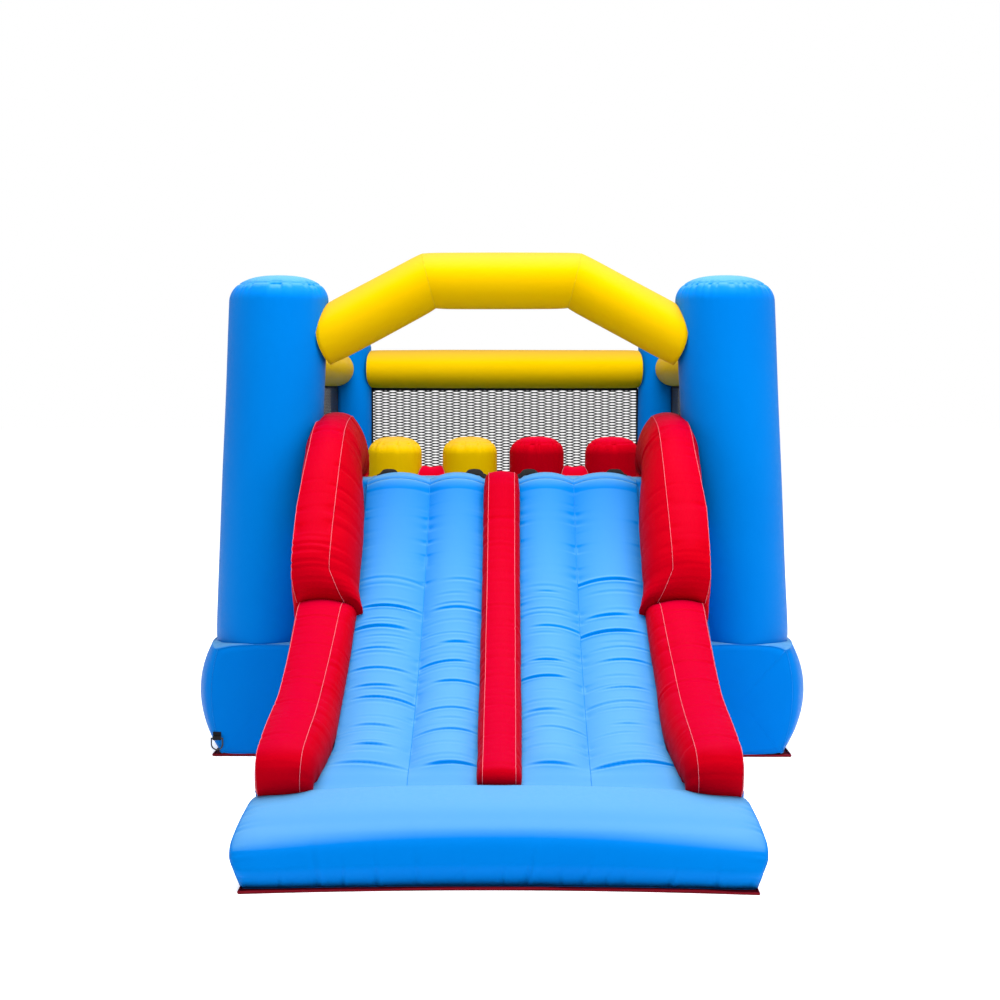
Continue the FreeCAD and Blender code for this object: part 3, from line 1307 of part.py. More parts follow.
# ---- Check every object, then write one STEP file for each sub-part
for obj in doc.Objects:
    if {"Invalid", "Error"} & set(obj.State):
        raise RuntimeError(f"{obj.Name} failed: {obj.State}")
for obj in SUB_PARTS:
    if obj.Shape.isNull() or not obj.Shape.isValid():
        raise RuntimeError(f"{obj.Label} has no valid shape")

os.makedirs("parts", exist_ok=True)
for obj in SUB_PARTS:
    obj.Shape.exportStep(f"parts/{obj.Label}.step")
print(len(SUB_PARTS), "sub-parts")
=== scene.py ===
import json
import math

import bmesh
import bpy
import numpy as np
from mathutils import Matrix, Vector
from mathutils.geometry import tessellate_polygon


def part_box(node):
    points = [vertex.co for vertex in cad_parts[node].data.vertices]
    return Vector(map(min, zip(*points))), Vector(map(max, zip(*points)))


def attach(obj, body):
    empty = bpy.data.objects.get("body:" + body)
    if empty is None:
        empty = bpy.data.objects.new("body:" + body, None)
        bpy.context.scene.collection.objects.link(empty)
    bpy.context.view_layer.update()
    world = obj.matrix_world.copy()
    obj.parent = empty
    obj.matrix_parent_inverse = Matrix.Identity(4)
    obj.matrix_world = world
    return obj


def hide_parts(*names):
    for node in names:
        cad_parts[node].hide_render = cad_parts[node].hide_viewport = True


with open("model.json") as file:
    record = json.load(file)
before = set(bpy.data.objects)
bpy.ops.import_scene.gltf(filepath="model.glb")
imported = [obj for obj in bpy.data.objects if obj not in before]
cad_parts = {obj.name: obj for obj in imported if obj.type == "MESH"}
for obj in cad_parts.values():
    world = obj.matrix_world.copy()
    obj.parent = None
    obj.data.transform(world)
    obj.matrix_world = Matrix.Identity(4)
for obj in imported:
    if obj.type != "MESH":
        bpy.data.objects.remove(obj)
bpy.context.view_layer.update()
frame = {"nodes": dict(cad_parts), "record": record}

# Everything is in metres, in the frame of the CAD model: +Z up, -Y towards the landing cushion.
BODY = "bounce_house"
SIDES = (("left", -1), ("right", 1))
UP = (0, 0, 1)


def box_of(node):
    """A node's lowest and highest corners, and its middle."""
    low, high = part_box(node)
    return low, high, (low + high) / 2


def widths(node):
    """How far a node's nearer and further sides are from the house's middle plane."""
    low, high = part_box(node)
    return sorted((abs(low.x), abs(high.x)))


def radius_of(node):
    """The radius of an upright or a level tube along Y."""
    low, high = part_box(node)
    return (high.x - low.x) / 2


# ---- Places and sizes, from the frame
PLANE = box_of("front_post_left")[2].y  # the front posts' axes
PLATFORM_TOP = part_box("slide_body")[1].z
BASE_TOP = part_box("base_tube_left")[1].z
FLOOR_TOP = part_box("bounce_floor")[1].z
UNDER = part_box("base_tube_left")[0].z

# ---- The slide bed is an arc in side view, and everything on the slide follows it.
CREST = np.array((PLANE - 0.090, 1.330))
BED_END = np.array((PLANE - 1.895, 0.285))
BED_SAG = 0.150
half_chord = np.linalg.norm(CREST - BED_END) / 2
BED_RADIUS = (half_chord ** 2 + BED_SAG ** 2) / (2 * BED_SAG)
chord = (CREST - BED_END) / (2 * half_chord)
BED_CENTRE = (CREST + BED_END) / 2 + np.array((-chord[1], chord[0])) * (BED_RADIUS - BED_SAG)


def bed_angle(point):
    """The angle of (y, z) about the bed's centre, in degrees."""
    away = np.asarray(point) - BED_CENTRE
    return math.degrees(math.atan2(away[0], -away[1]))


def on_bed(rise, angle):
    """(y, z) at an angle about the bed's centre, rise above the bed. Both may be arrays."""
    reach = BED_RADIUS - np.asarray(rise)
    turn = np.radians(angle)
    return BED_CENTRE[0] + reach * np.sin(turn), BED_CENTRE[1] - reach * np.cos(turn)


BED_LOW = bed_angle(BED_END)
BED_HIGH = bed_angle(CREST)
FOLD = 32.4  # where the lower walls meet the upper ones, in degrees


# ---- Noise and curves
LATTICE = 32  # the noise repeats after this many swells


def noise(points, scale, seed):
    """Smooth noise from -1 to 1, with about scale swells to the metre."""
    lattice = np.random.default_rng(seed).uniform(-1, 1, (LATTICE, LATTICE, LATTICE))
    spot = np.asarray(points, float) * scale
    cell = np.floor(spot).astype(int)
    part = spot - cell
    part = part * part * (3 - 2 * part)
    total = 0
    for corner in np.ndindex(2, 2, 2):
        weight = np.prod(np.where(corner, part, 1 - part), axis=-1)
        at = (cell + corner) % LATTICE
        total = total + weight * lattice[at[..., 0], at[..., 1], at[..., 2]]
    return total


def travelled(line):
    """How far along a line each of its points is."""
    return np.concatenate([[0], np.cumsum(np.linalg.norm(np.diff(line, axis=0), axis=1))])


def curve_through(points, count):
    """count points at even steps along a smooth curve through the given ones."""
    p = np.asarray(points, float)
    ends = np.vstack([2 * p[0] - p[1], p, 2 * p[-1] - p[-2]])
    t = np.linspace(0, 1, 24, endpoint=False)[:, None]
    fine = []
    for a, b, c, d in zip(ends, ends[1:], ends[2:], ends[3:]):
        cubic = 2 * a - 5 * b + 4 * c - d + t * (3 * (b - c) + d - a)
        fine.append(b + 0.5 * t * (c - a + t * cubic))
    fine = np.vstack([*fine, p[-1:]])
    along = travelled(fine)
    at = np.linspace(0, along[-1], count)
    return np.stack([np.interp(at, along, fine[:, k]) for k in range(p.shape[1])], axis=1)


def swell(x, low, high):
    """0 below low, 1 above high, and smooth between."""
    t = np.clip((np.asarray(x, float) - low) / (high - low), 0, 1)
    return t * t * (3 - 2 * t)


def turns(count):
    """Even steps round a full turn."""
    return np.linspace(0, 2 * math.pi, count, endpoint=False)


def eased(count, endpoint=True):
    """Steps from 0 to 1, closer at both ends."""
    return (1 - np.cos(np.linspace(0, math.pi, count, endpoint=endpoint))) / 2


def rounding(gap, reach):
    """A quarter circle's fall from 1 at an end to 0 at reach from it."""
    return 1 - np.sqrt(1 - np.clip(1 - gap / reach, 0, 1) ** 2)


# ---- Meshes
def placed(mesh, body=BODY):
    """The object of a mesh, in the scene and riding on a body."""
    obj = bpy.data.objects.new(mesh.name, mesh)
    bpy.context.scene.collection.objects.link(obj)
    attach(obj, body)
    return obj


def shown(name, points, faces, material, smooth=True, body=BODY):
    """A new piece from points and faces, its normals facing out."""
    mesh = bpy.data.meshes.new(name)
    mesh.from_pydata([tuple(p) for p in points], [], [tuple(int(i) for i in f) for f in faces])
    mesh.materials.append(material)
    mesh.polygons.foreach_set("use_smooth", [smooth] * len(mesh.polygons))
    work = bmesh.new()
    work.from_mesh(mesh)
    bmesh.ops.recalc_face_normals(work, faces=work.faces)
    work.to_mesh(mesh)
    work.free()
    return placed(mesh, body)


def between(lower, upper):
    """Quads between two closed loops, both given as vertex indices."""
    return np.stack([lower, np.roll(lower, -1), np.roll(upper, -1), upper], axis=1)


def ring(corners, bulges, steps):
    """A closed loop in two dimensions. Each stretch between corners bows out by its bulge.
    Gives the points, each one's distance from the nearest corner, and the corners' indices."""
    corners = [np.asarray(c, float) for c in corners]
    points, gaps, marks = [], [], []
    t = eased(steps, endpoint=False)
    for a, b, bulge in zip(corners, corners[1:] + corners[:1], bulges):
        marks.append(len(points))
        length = np.linalg.norm(b - a)
        way = (b - a) / length
        out = np.array((way[1], -way[0]))
        if abs(bulge) < 1e-6:
            stretch = a + (b - a) * t[:, None]
        else:
            half_turn = 2 * math.atan(2 * bulge / length)
            radius = length / (2 * math.sin(half_turn))
            centre = (a + b) / 2 - out * radius * math.cos(half_turn)
            turn = (2 * t - 1) * half_turn
            stretch = centre + radius * (np.sin(turn)[:, None] * way + np.cos(turn)[:, None] * out)
        points.extend(stretch)
        gaps.extend(np.minimum(t, 1 - t) * length)
    return np.array(points), np.array(gaps), marks


def straight(flat, stations, axis):
    """A stack of one cross-section, at stations along X (axis 0) or Y (axis 1)."""
    rings = np.zeros((len(stations), len(flat), 3))
    rings[..., axis] = stations[:, None]
    rings[..., 1 - axis] = flat[:, 0]
    rings[..., 2] = flat[:, 1]
    return rings


def outward(rings):
    """The surface normal at each point of a stack of closed rings."""
    across = np.roll(rings, -1, axis=1) - np.roll(rings, 1, axis=1)
    along = np.gradient(rings, axis=0)
    normal = np.cross(across, along)
    normal /= np.maximum(np.linalg.norm(normal, axis=2, keepdims=True), 1e-9)
    away = rings - rings.mean(axis=1, keepdims=True)
    sign = np.sign((normal * away).sum(axis=2).mean())
    return normal * (sign or 1)


def pushed(rings, amount):
    """A stack with its skin moved out by amount."""
    return rings + outward(rings) * amount[..., None]


def lengths(rings):
    """Distance of each ring from the first, along the middle of the stack."""
    return travelled(rings.mean(axis=1))


def squeezed(rings, share):
    """A stack whose rings are drawn in to their middles by a share of their size."""
    middles = rings.mean(axis=1, keepdims=True)
    return middles + (rings - middles) * (1 - share[:, None, None])


def uneven(rings, seed, depth, scale):
    """The slow unevenness of a sewn chamber."""
    return pushed(rings, noise(rings, scale, seed) * depth)


def puckered(rings, gaps, seed, depth, width=0.03, pitch=0.03):
    """Short gathers that run out from the seams."""
    spot = np.zeros(rings.shape)
    spot[..., 0] = lengths(rings)[:, None] / pitch
    spot[..., 1] = np.arange(rings.shape[1])[None, :] * 0.05 + seed
    wave = np.clip(noise(spot, 1.0, seed) - 0.05, 0, 1)
    fade = np.exp(-gaps / width) * (1 - np.exp(-gaps / 0.004))
    return pushed(rings, -depth * 2 * wave * fade)


FULL_TURN = 6.3  # in radians, near enough to count pleats


def around(turn, pleats, seed):
    """Places on a circle where noise makes about so many pleats in a full turn."""
    size = pleats / FULL_TURN
    return np.stack([size * np.cos(turn), size * np.sin(turn), turn * 0 + seed], axis=1)


def end_gathers(rings, seed, depth, reach=0.07, count=26):
    """Pleats that run in from the end seams."""
    along = lengths(rings)
    wave = np.clip(noise(around(turns(rings.shape[1]), count, seed), 1.0, seed), 0, 1)
    ends = [np.exp(-g / (reach * 0.5)) * (1 - np.exp(-g / 0.006)) for g in (along, along[-1] - along)]
    return pushed(rings, -2 * depth * np.maximum(*ends)[:, None] * wave[None, :])


def panel_swell(points, rim):
    """How far a full panel stands out at points within its rim: 0 at the rim, most in the middle."""
    gap = ((points[:, None] - rim[None]) ** 2).sum(axis=2)
    span_of = np.linalg.norm(np.roll(rim, -1, axis=0) - np.roll(rim, 1, axis=0), axis=1) / 2
    return 1 / (span_of[None] / np.maximum(gap, 1e-8)).sum(axis=1)


CAP_LEVELS = 9
CAP_WRINKLES = 28  # to the metre


def lofted(name, rings, material, start=0.0, end=0.0, pleat=0.0, body=BODY, seed=1):
    """A closed skin over a stack of rings. A panel over each end swells by start or end."""
    count, size = rings.shape[:2]
    points = [rings.reshape(-1, 3)]
    faces = []
    j = np.arange(size)
    for i in range(count - 1):
        faces.extend(between(i * size + j, (i + 1) * size + j))
    total = count * size
    for at, near, bulge in ((0, 1, start), (count - 1, count - 2, end)):
        rim = rings[at]
        centre = rim.mean(axis=0)
        out = centre - rings[near].mean(axis=0)
        out /= np.linalg.norm(out)
        away = rim - centre
        size_now = np.linalg.norm(away, axis=1, keepdims=True)
        beyond = np.maximum(size_now - size_now.mean(), 0)
        before = at * size + j
        fullest = panel_swell(centre[None], rim)[0]
        for level in range(1, CAP_LEVELS):
            share = level / CAP_LEVELS
            rounder = away / size_now * (size_now - beyond * share ** 0.7)
            loop = centre + rounder * (1 - share)
            lift = bulge * np.minimum(panel_swell(loop, rim) / fullest, 1) ** 0.8
            loop = loop + out * lift[:, None]
            if pleat:
                wave = np.clip(noise(rim, CAP_WRINKLES, seed), 0, 1)
                loop = loop - out * (pleat * wave * math.exp(-share / 0.16))[:, None]
            points.append(loop)
            faces.extend(between(before, total + j))
            before = total + j
            total += size
        points.append((centre + out * bulge)[None])
        faces.extend((a, b, total) for a, b in zip(before, np.roll(before, -1)))
        total += 1
    return shown(name, np.vstack(points), faces, material, body=body)


def tubes(name, paths, radius, material, sides=6, closed=False, body=BODY):
    """Round cords along lists of points, as one mesh."""
    points, faces, total = [], [], 0
    turn = turns(sides)[None, :, None]
    j = np.arange(sides)
    for path in paths:
        path = np.asarray(path, float)
        way = np.roll(path, -1, axis=0) - np.roll(path, 1, axis=0) if closed else np.gradient(path, axis=0)
        way /= np.maximum(np.linalg.norm(way, axis=1, keepdims=True), 1e-9)
        guide = np.where(np.abs(way[:, 2:3]) > 0.9, (1.0, 0, 0), (0, 0, 1.0))
        side = np.cross(way, guide)
        side /= np.linalg.norm(side, axis=1, keepdims=True)
        up = np.cross(side, way)
        loops = path[:, None] + radius * (np.cos(turn) * side[:, None] + np.sin(turn) * up[:, None])
        points.append(loops.reshape(-1, 3))
        for i in range(len(path) if closed else len(path) - 1):
            faces.extend(between(total + i * sides + j, total + (i + 1) % len(path) * sides + j))
        if not closed:
            faces.append(total + j[::-1])
            faces.append(total + (len(path) - 1) * sides + j)
        total += len(path) * sides
    return shown(name, np.vstack(points), faces, material, body=body)


STRAP_CORNER = ((-0.5, -0.3), (-0.46, -0.5), (0.46, -0.5), (0.5, -0.3))
STRAP_PROFILE = (*STRAP_CORNER, *((-u, -v) for u, v in STRAP_CORNER))


def strap(name, path, width_way, width, depth, body=BODY):
    """A flat band of webbing along a path, as wide as width along width_way."""
    path = np.asarray(path, float)
    way = np.gradient(path, axis=0)
    way /= np.linalg.norm(way, axis=1, keepdims=True)
    wide = np.asarray(width_way, float)
    up = np.cross(way, wide)
    up /= np.linalg.norm(up, axis=1, keepdims=True)
    loops = np.stack([path + wide * width * u + up * depth * v for u, v in STRAP_PROFILE], axis=1)
    band = lofted(name, loops, WEBBING, body=body)
    return band


# ---- Materials
WAVE_METRE = 0.314  # a Wave texture's scale for one band to the metre


class Look:
    """A material's nodes, and short calls for the ones that this script uses."""

    def __init__(self, name):
        self.material = bpy.data.materials.new(name)
        self.material.use_nodes = True
        self.nodes = self.material.node_tree.nodes
        self.links = self.material.node_tree.links
        self.inputs = self.nodes["Principled BSDF"].inputs

    def out(self, kind, socket):
        return self.nodes.new("ShaderNode" + kind).outputs[socket]

    def place(self):
        return self.out("TexCoord", "Object")

    def mixed(self, factor, low, high):
        mix = self.nodes.new("ShaderNodeMix")
        mix.data_type = "RGBA"
        self.links.new(factor, mix.inputs["Factor"])
        for socket, colour in ((mix.inputs["A"], low), (mix.inputs["B"], high)):
            if isinstance(colour, bpy.types.NodeSocket):
                self.links.new(colour, socket)
            else:
                socket.default_value = (*colour, 1)
        return mix.outputs["Result"]

    def speckle(self, coords, scale, detail=3.0):
        node = self.nodes.new("ShaderNodeTexNoise")
        self.links.new(coords, node.inputs["Vector"])
        node.inputs["Scale"].default_value = scale
        node.inputs["Detail"].default_value = detail
        return node.outputs["Fac"]

    def ranged(self, value, low, high, to_low, to_high):
        node = self.nodes.new("ShaderNodeMapRange")
        self.links.new(value, node.inputs["Value"])
        for socket, number in zip(("From Min", "From Max", "To Min", "To Max"), (low, high, to_low, to_high)):
            node.inputs[socket].default_value = number
        return node.outputs["Result"]

    def combined(self, operation, first, second):
        node = self.nodes.new("ShaderNodeMath")
        node.operation = operation
        self.links.new(first, node.inputs[0])
        self.links.new(second, node.inputs[1])
        return node.outputs[0]

    def weave(self, coords, pitch):
        """Over-and-under threads from bands along X, Y and Z."""
        total = None
        for way in ("X", "Y", "Z"):
            band = self.nodes.new("ShaderNodeTexWave")
            band.bands_direction = way
            band.inputs["Scale"].default_value = WAVE_METRE / pitch
            self.links.new(coords, band.inputs["Vector"])
            band = band.outputs["Fac"]
            total = band if total is None else self.combined("ADD", total, band)
        return total

    def rubbed(self, full, most):
        """How far an edge is rubbed, up to most where its Pointiness is full."""
        return self.ranged(self.out("NewGeometry", "Pointiness"), 0.52, full, 0.0, most)

    def bumped(self, *heights):
        """Bumps on one another: (height socket, distance in metres, strength)."""
        normal = None
        for height, distance, strength in heights:
            bump = self.nodes.new("ShaderNodeBump")
            bump.inputs["Distance"].default_value = distance
            bump.inputs["Strength"].default_value = strength
            self.links.new(height, bump.inputs["Height"])
            if normal is not None:
                self.links.new(normal, bump.inputs["Normal"])
            normal = bump.outputs["Normal"]
        self.links.new(normal, self.inputs["Normal"])

    def set(self, **values):
        """Sets the shader's own values, each by its socket's name."""
        for socket, value in values.items():
            self.inputs[socket.replace("_", " ")].default_value = value

    def finish(self, colour, rough, **values):
        """Links the colour and roughness, and sets the rest."""
        self.links.new(colour, self.inputs["Base Color"])
        self.links.new(rough, self.inputs["Roughness"])
        self.set(**values)
        return self.material


def coated_fabric(name, colour, faded, painted_lit_top_colour, rough=0.42, pitch=0.0016, sheen=0.02, shine=0.10, upward=0.60):
    """Coated nylon: a satin face over a fine weave, paler where it is rubbed. Where it faces up it takes a paler
    colour, which is painted light standing in for the light from above and the sky's reflection."""
    look = Look(name)
    coords = look.place()
    slow = look.speckle(coords, 1.3)
    fine = look.speckle(coords, 38, 4)
    shade = look.mixed(look.ranged(slow, 0.35, 0.65, 0.0, 0.5), colour, faded)
    shade = look.mixed(look.combined("MULTIPLY", look.rubbed(0.60, 0.5), fine), shade, faded)
    # Painted light: surfaces that face up are mixed towards a paler colour, in place of the light from above and the
    # sky's reflection.
    facing = look.nodes.new("ShaderNodeSeparateXYZ")
    look.links.new(look.out("NewGeometry", "Normal"), facing.inputs["Vector"])
    shade = look.mixed(look.ranged(facing.outputs["Z"], upward, 1.0, 0.0, 1.0), shade, painted_lit_top_colour)
    look.bumped((look.speckle(coords, 11, 5), 0.006, 0.22), (look.weave(coords, pitch), 0.00012, 0.5))
    return look.finish(
        shade, look.ranged(fine, 0.3, 0.7, rough - 0.05, rough + 0.07), Specular_IOR_Level=shine,
        Specular_Tint=(*(c / max(faded) for c in faded), 1), Sheen_Weight=sheen, Sheen_Roughness=0.4,
        Sheen_Tint=(*faded, 1),
    )


def plain_weave(name, colour, pitch=0.002, rough=0.75):
    """Webbing, tape, thread and cord: an open weave with a little fuzz."""
    look = Look(name)
    coords = look.place()
    threads = look.weave(coords, pitch)
    fuzz = look.speckle(coords, 240, 2)
    pale = tuple(min(1.0, c * 1.9 + 0.003) for c in colour)
    shade = look.mixed(look.ranged(threads, 0.4, 2.4, 0.0, 1.0), colour, pale)
    look.bumped((threads, 0.0006, 0.8), (fuzz, 0.0003, 0.4))
    return look.finish(shade, look.ranged(fuzz, 0.3, 0.7, rough - 0.08, rough + 0.1),
                       Specular_IOR_Level=0.1, Sheen_Weight=0.04)


def moulded(name, colour, rough=0.5, grain=420, metal=0.0, depth=0.0003):
    """Moulded plastic, rubber or coated metal, with grain and rubbed edges."""
    look = Look(name)
    coords = look.place()
    dust = look.speckle(coords, 9, 5)
    pale = tuple(min(1.0, c * 1.6 + 0.03) for c in colour)
    palest = tuple(min(1.0, c + 0.08) for c in pale)
    shade = look.mixed(look.ranged(dust, 0.4, 0.75, 0.0, 0.5), colour, pale)
    shade = look.mixed(look.rubbed(0.62, 0.6), shade, palest)
    look.bumped((look.speckle(coords, grain, 2), depth, 0.6))
    return look.finish(shade, look.ranged(dust, 0.3, 0.7, rough - 0.08, rough + 0.12), Metallic=metal)


# Each fabric's third colour is painted light: the paler colour its up-facing surfaces take, in place of the light
# from above and the sky's reflection.
BLUE = coated_fabric("blue_coated_nylon", (0.0, 0.142, 0.510), (0.0, 0.168, 0.560), (0.082, 0.255, 0.480))
YELLOW = coated_fabric("yellow_coated_nylon", (0.62, 0.385, 0.0), (0.64, 0.405, 0.002), (0.42, 0.250, 0.030),
                       shine=0.02, upward=0.35)
RED = coated_fabric("red_coated_nylon", (0.375, 0.0, 0.005), (0.41, 0.0, 0.009), (0.385, 0.0, 0.018),
                    sheen=0.01, shine=0.01)
GROUND = coated_fabric("dark_red_ground_fabric", (0.16, 0.003, 0.010), (0.20, 0.010, 0.016), (0.18, 0.006, 0.012),
                       rough=0.6, pitch=0.003)
THREADS = {
    RED: plain_weave("pink_thread", (0.42, 0.09, 0.11), rough=0.6),
    BLUE: plain_weave("blue_thread", (0.0, 0.13, 0.42), rough=0.6),
    YELLOW: plain_weave("yellow_thread", (0.38, 0.27, 0.002), rough=0.6),
}
NET = plain_weave("black_net_cord", (0.008, 0.008, 0.009), pitch=0.004, rough=0.6)
WEBBING = plain_weave("black_webbing", (0.006, 0.006, 0.007), pitch=0.003)
INNER = plain_weave("inner_sheet_fabric", (0.60, 0.60, 0.58), pitch=0.004)

THREAD = 0.0013  # the seam threads' radius
SEAM_LIFT = 0.0006


def sewn(node, rings, material, seams, start=0.0, end=0.0, pleat=0.0, seed=1, threads=None):
    """The air chamber that stands for a CAD node: a full skin over a stack of rings, and the
    threads along its seams."""
    skin = lofted(f"{node}_skin", rings, material, start, end, pleat, seed=seed)
    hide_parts(node)
    tubes(threads or f"{node}_seams", seams, THREAD, THREADS[material], sides=5)


def seam_paths(rings, marks):
    """The lines along a stack of rings at the given indices, just proud of the skin."""
    lifted = rings + outward(rings) * SEAM_LIFT
    return [lifted[:, m] for m in marks]


def seam_loops(rings, rows=(0, -1)):
    """Closed lines round a stack, at the given rows."""
    return [np.vstack([rings[i], rings[i][:1]]) for i in rows]


# ---- Upright tubes with domed caps: posts and pillars
FOOT_DRAW = 0.035  # the share by which an upright's foot seam draws it in
CAP_SEAM = math.radians(40)  # how far up the dome the cap's seam is
CAP_PLEAT = 0.014  # how deep the cap's pleats are


def upright(node, foot, top, radius, cap, material, lean=0.0, seed=1, pleats=84):
    """An upright tube. Its top curves in to a round cap panel, gathered along the seam."""
    turn = turns(3 * pleats)
    rim = top - foot[2] - cap
    walls = np.concatenate([np.linspace(0, 0.04, 5)[:-1], np.linspace(0.04, rim - 0.08, 34)[:-1],
                            np.linspace(rim - 0.08, rim, 14)[:-1]])
    spots = [(z, 1 - FOOT_DRAW * math.exp(-z / 0.03)) for z in walls]
    dome = np.linspace(0, 0.985, 34) * math.pi / 2
    spots += [(rim + cap * math.sin(t), math.cos(t) ** 0.72) for t in dome]
    seam = len(walls) + int(np.argmin(np.abs(dome - CAP_SEAM)))
    spots = np.array(spots)
    heights, shares = spots.T
    reach = travelled(spots * (1, radius))
    gap = np.abs(reach - reach[seam])
    fall = np.where(np.arange(len(spots)) <= seam, 0.030, 0.012)
    pleat = np.exp(-gap / fall) * (1 - np.exp(-gap / 0.004))
    wave = np.clip(noise(around(turn, pleats, seed), 1, seed), -0.15, 1)
    inset = CAP_PLEAT * pleat[:, None] * wave[None, :] + 0.003 * np.exp(-gap / 0.008)[:, None]
    rings = np.zeros((len(spots), len(turn), 3))
    size = shares[:, None] - inset / radius
    rings[..., 0] = radius * np.cos(turn) * size
    rings[..., 1] = radius * np.sin(turn) * size
    rings[..., 2] = heights[:, None] - 0.35 * inset * (heights > rim)[:, None]
    rings = uneven(rings, seed, 0.002, 2.5)
    rings[..., 0] += -math.tan(lean) * rings[..., 2]
    rings += np.asarray(foot)
    back_line = rings[: seam + 1, len(turn) // 4]
    sewn(node, rings, material, [back_line], end=0.001, threads=f"{node}_skin_seams")


POST_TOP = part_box("front_post_left")[1].z
LEAN = math.radians(2.95)
POST_RADIUS = (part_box("front_post_left")[1].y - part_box("front_post_left")[0].y) / 2
BASE_OVERLAP = 0.012
FOOT_SPREAD = 0.022  # the full posts stand this much wider at the foot
POST_SPREAD = widths("front_post_left")[1] - POST_RADIUS + FOOT_SPREAD
POST_FOOT = BASE_TOP - BASE_OVERLAP
for name, side in SIDES:
    outer = widths(f"front_post_{name}")[1] - POST_RADIUS
    foot = (side * (outer + FOOT_SPREAD), PLANE, POST_FOOT)
    upright(f"front_post_{name}", foot, POST_TOP, POST_RADIUS, 0.125, BLUE, lean=side * LEAN, seed=3 + side)
    node = f"back_post_{name}"
    low, high, spot = box_of(node)
    upright(node, (spot.x, spot.y, POST_FOOT), high.z, radius_of(node), 0.085, BLUE, seed=9 + side, pleats=60)

PILLARS = (("outer_left", YELLOW), ("inner_left", YELLOW), ("inner_right", RED), ("outer_right", RED))
for i, (name, colour) in enumerate(PILLARS):
    node = f"pillar_{name}"
    low, high, spot = box_of(node)
    upright(node, (spot.x, spot.y, low.z), high.z, radius_of(node), 0.10, colour, seed=20 + i, pleats=64)


# ---- Level tubes: arch, beams and bolsters, each cut to the posts that it meets
def reach_to_post(points, way, axis_at, axis_way, radius, bow=0.030):
    """Slides points along way until they meet an upright cylinder's surface, at most bow past
    the first one that does."""
    way = np.asarray(way, float) / np.linalg.norm(way)
    axis_way = np.asarray(axis_way, float) / np.linalg.norm(axis_way)
    gap = points - np.asarray(axis_at, float)
    gap = gap - (gap @ axis_way)[:, None] * axis_way
    flat = way - (way @ axis_way) * axis_way
    a = flat @ flat
    b = 2 * gap @ flat
    c = (gap * gap).sum(axis=1) - radius ** 2
    root = np.sqrt(np.maximum(b * b - 4 * a * c, 0))
    start = points @ way
    stops = start + (-b - root) / (2 * a)
    stops = np.minimum(stops, stops.min() + bow * (1 - np.exp(-(stops - stops.min()) / bow)))
    return points + (stops - start)[:, None] * way


def tube_rings(path, radius, count, spread):
    """Rings along a path of straight runs, mitred at its corners, denser beside them."""
    path = np.asarray(path, float)
    runs = np.diff(path, axis=0)
    ways = runs / np.linalg.norm(runs, axis=1, keepdims=True)
    normals = [ways[0], *[(a + b) / np.linalg.norm(a + b) for a, b in zip(ways, ways[1:])], ways[-1]]
    rings = []
    turn = turns(count)[:, None]
    for i, way in enumerate(ways):
        side = np.cross(way, UP)
        side /= np.linalg.norm(side)
        up = np.cross(side, way)
        loop = radius * (np.cos(turn) * side + np.sin(turn) * up)
        shares = eased(max(8, int(np.linalg.norm(runs[i]) / spread)))
        first, last = (
            loop + at + way * (-loop @ normal / (way @ normal))[:, None]
            for at, normal in zip(path[i:i + 2], normals[i:i + 2])
        )
        for share in shares[:-1] if i < len(runs) - 1 else shares:
            rings.append(first + (last - first) * share)
    return np.array(rings)


# The arch has a level middle stretch and two sloping ones. Its seams draw the tube in a little.
arch_low, arch_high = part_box("front_arch")
ARCH_RADIUS = (arch_high.y - arch_low.y) / 2
ARCH_FLAT = 0.355
ARCH_DROP = 0.350
ARCH_END = 1.012
ARCH_AXIS = arch_high.z - ARCH_RADIUS - 0.008
ARCH_PATH = [(-ARCH_END, PLANE, ARCH_AXIS - ARCH_DROP), (-ARCH_FLAT, PLANE, ARCH_AXIS),
             (ARCH_FLAT, PLANE, ARCH_AXIS), (ARCH_END, PLANE, ARCH_AXIS - ARCH_DROP)]
ARCH_PRESS = 0.018  # the arch's ends press into the posts
POST_GAP = 0.004
SEAM_DRAW = 0.030  # a seam round a tube draws it in by this share
arch = tube_rings(ARCH_PATH, ARCH_RADIUS, 72, 0.03)


def front_post(side, radius):
    """A front post's axis and a radius about it, for reach_to_post."""
    return (side * POST_SPREAD, PLANE, BASE_TOP), (-side * math.tan(LEAN), 0, 1), radius


span = len(arch) // 6
for side, half in ((-1, arch), (1, arch[::-1])):
    way = np.subtract(ARCH_PATH[0], ARCH_PATH[1]) * (-side, 1, 1)
    inner = half[span].copy()
    met = reach_to_post(inner, way, *front_post(side, POST_RADIUS - ARCH_PRESS), 0.2)
    half[: span + 1] = inner + (met - inner) * np.linspace(1, 0, span + 1)[:, None, None]
along = lengths(arch)
corners = [int(np.argmin(np.linalg.norm(arch.mean(axis=1) - np.array(p), axis=1))) for p in ARCH_PATH[1:3]]
arch_seams = (0, *corners, len(arch) - 1)
dip = np.max([np.exp(-np.abs(along - along[at]) / 0.03) for at in arch_seams], axis=0)
arch = end_gathers(uneven(squeezed(arch, SEAM_DRAW * dip), 31, 0.003, 2.2), 32, depth=0.0025)
sewn("front_arch", arch, YELLOW, seam_loops(arch, arch_seams))


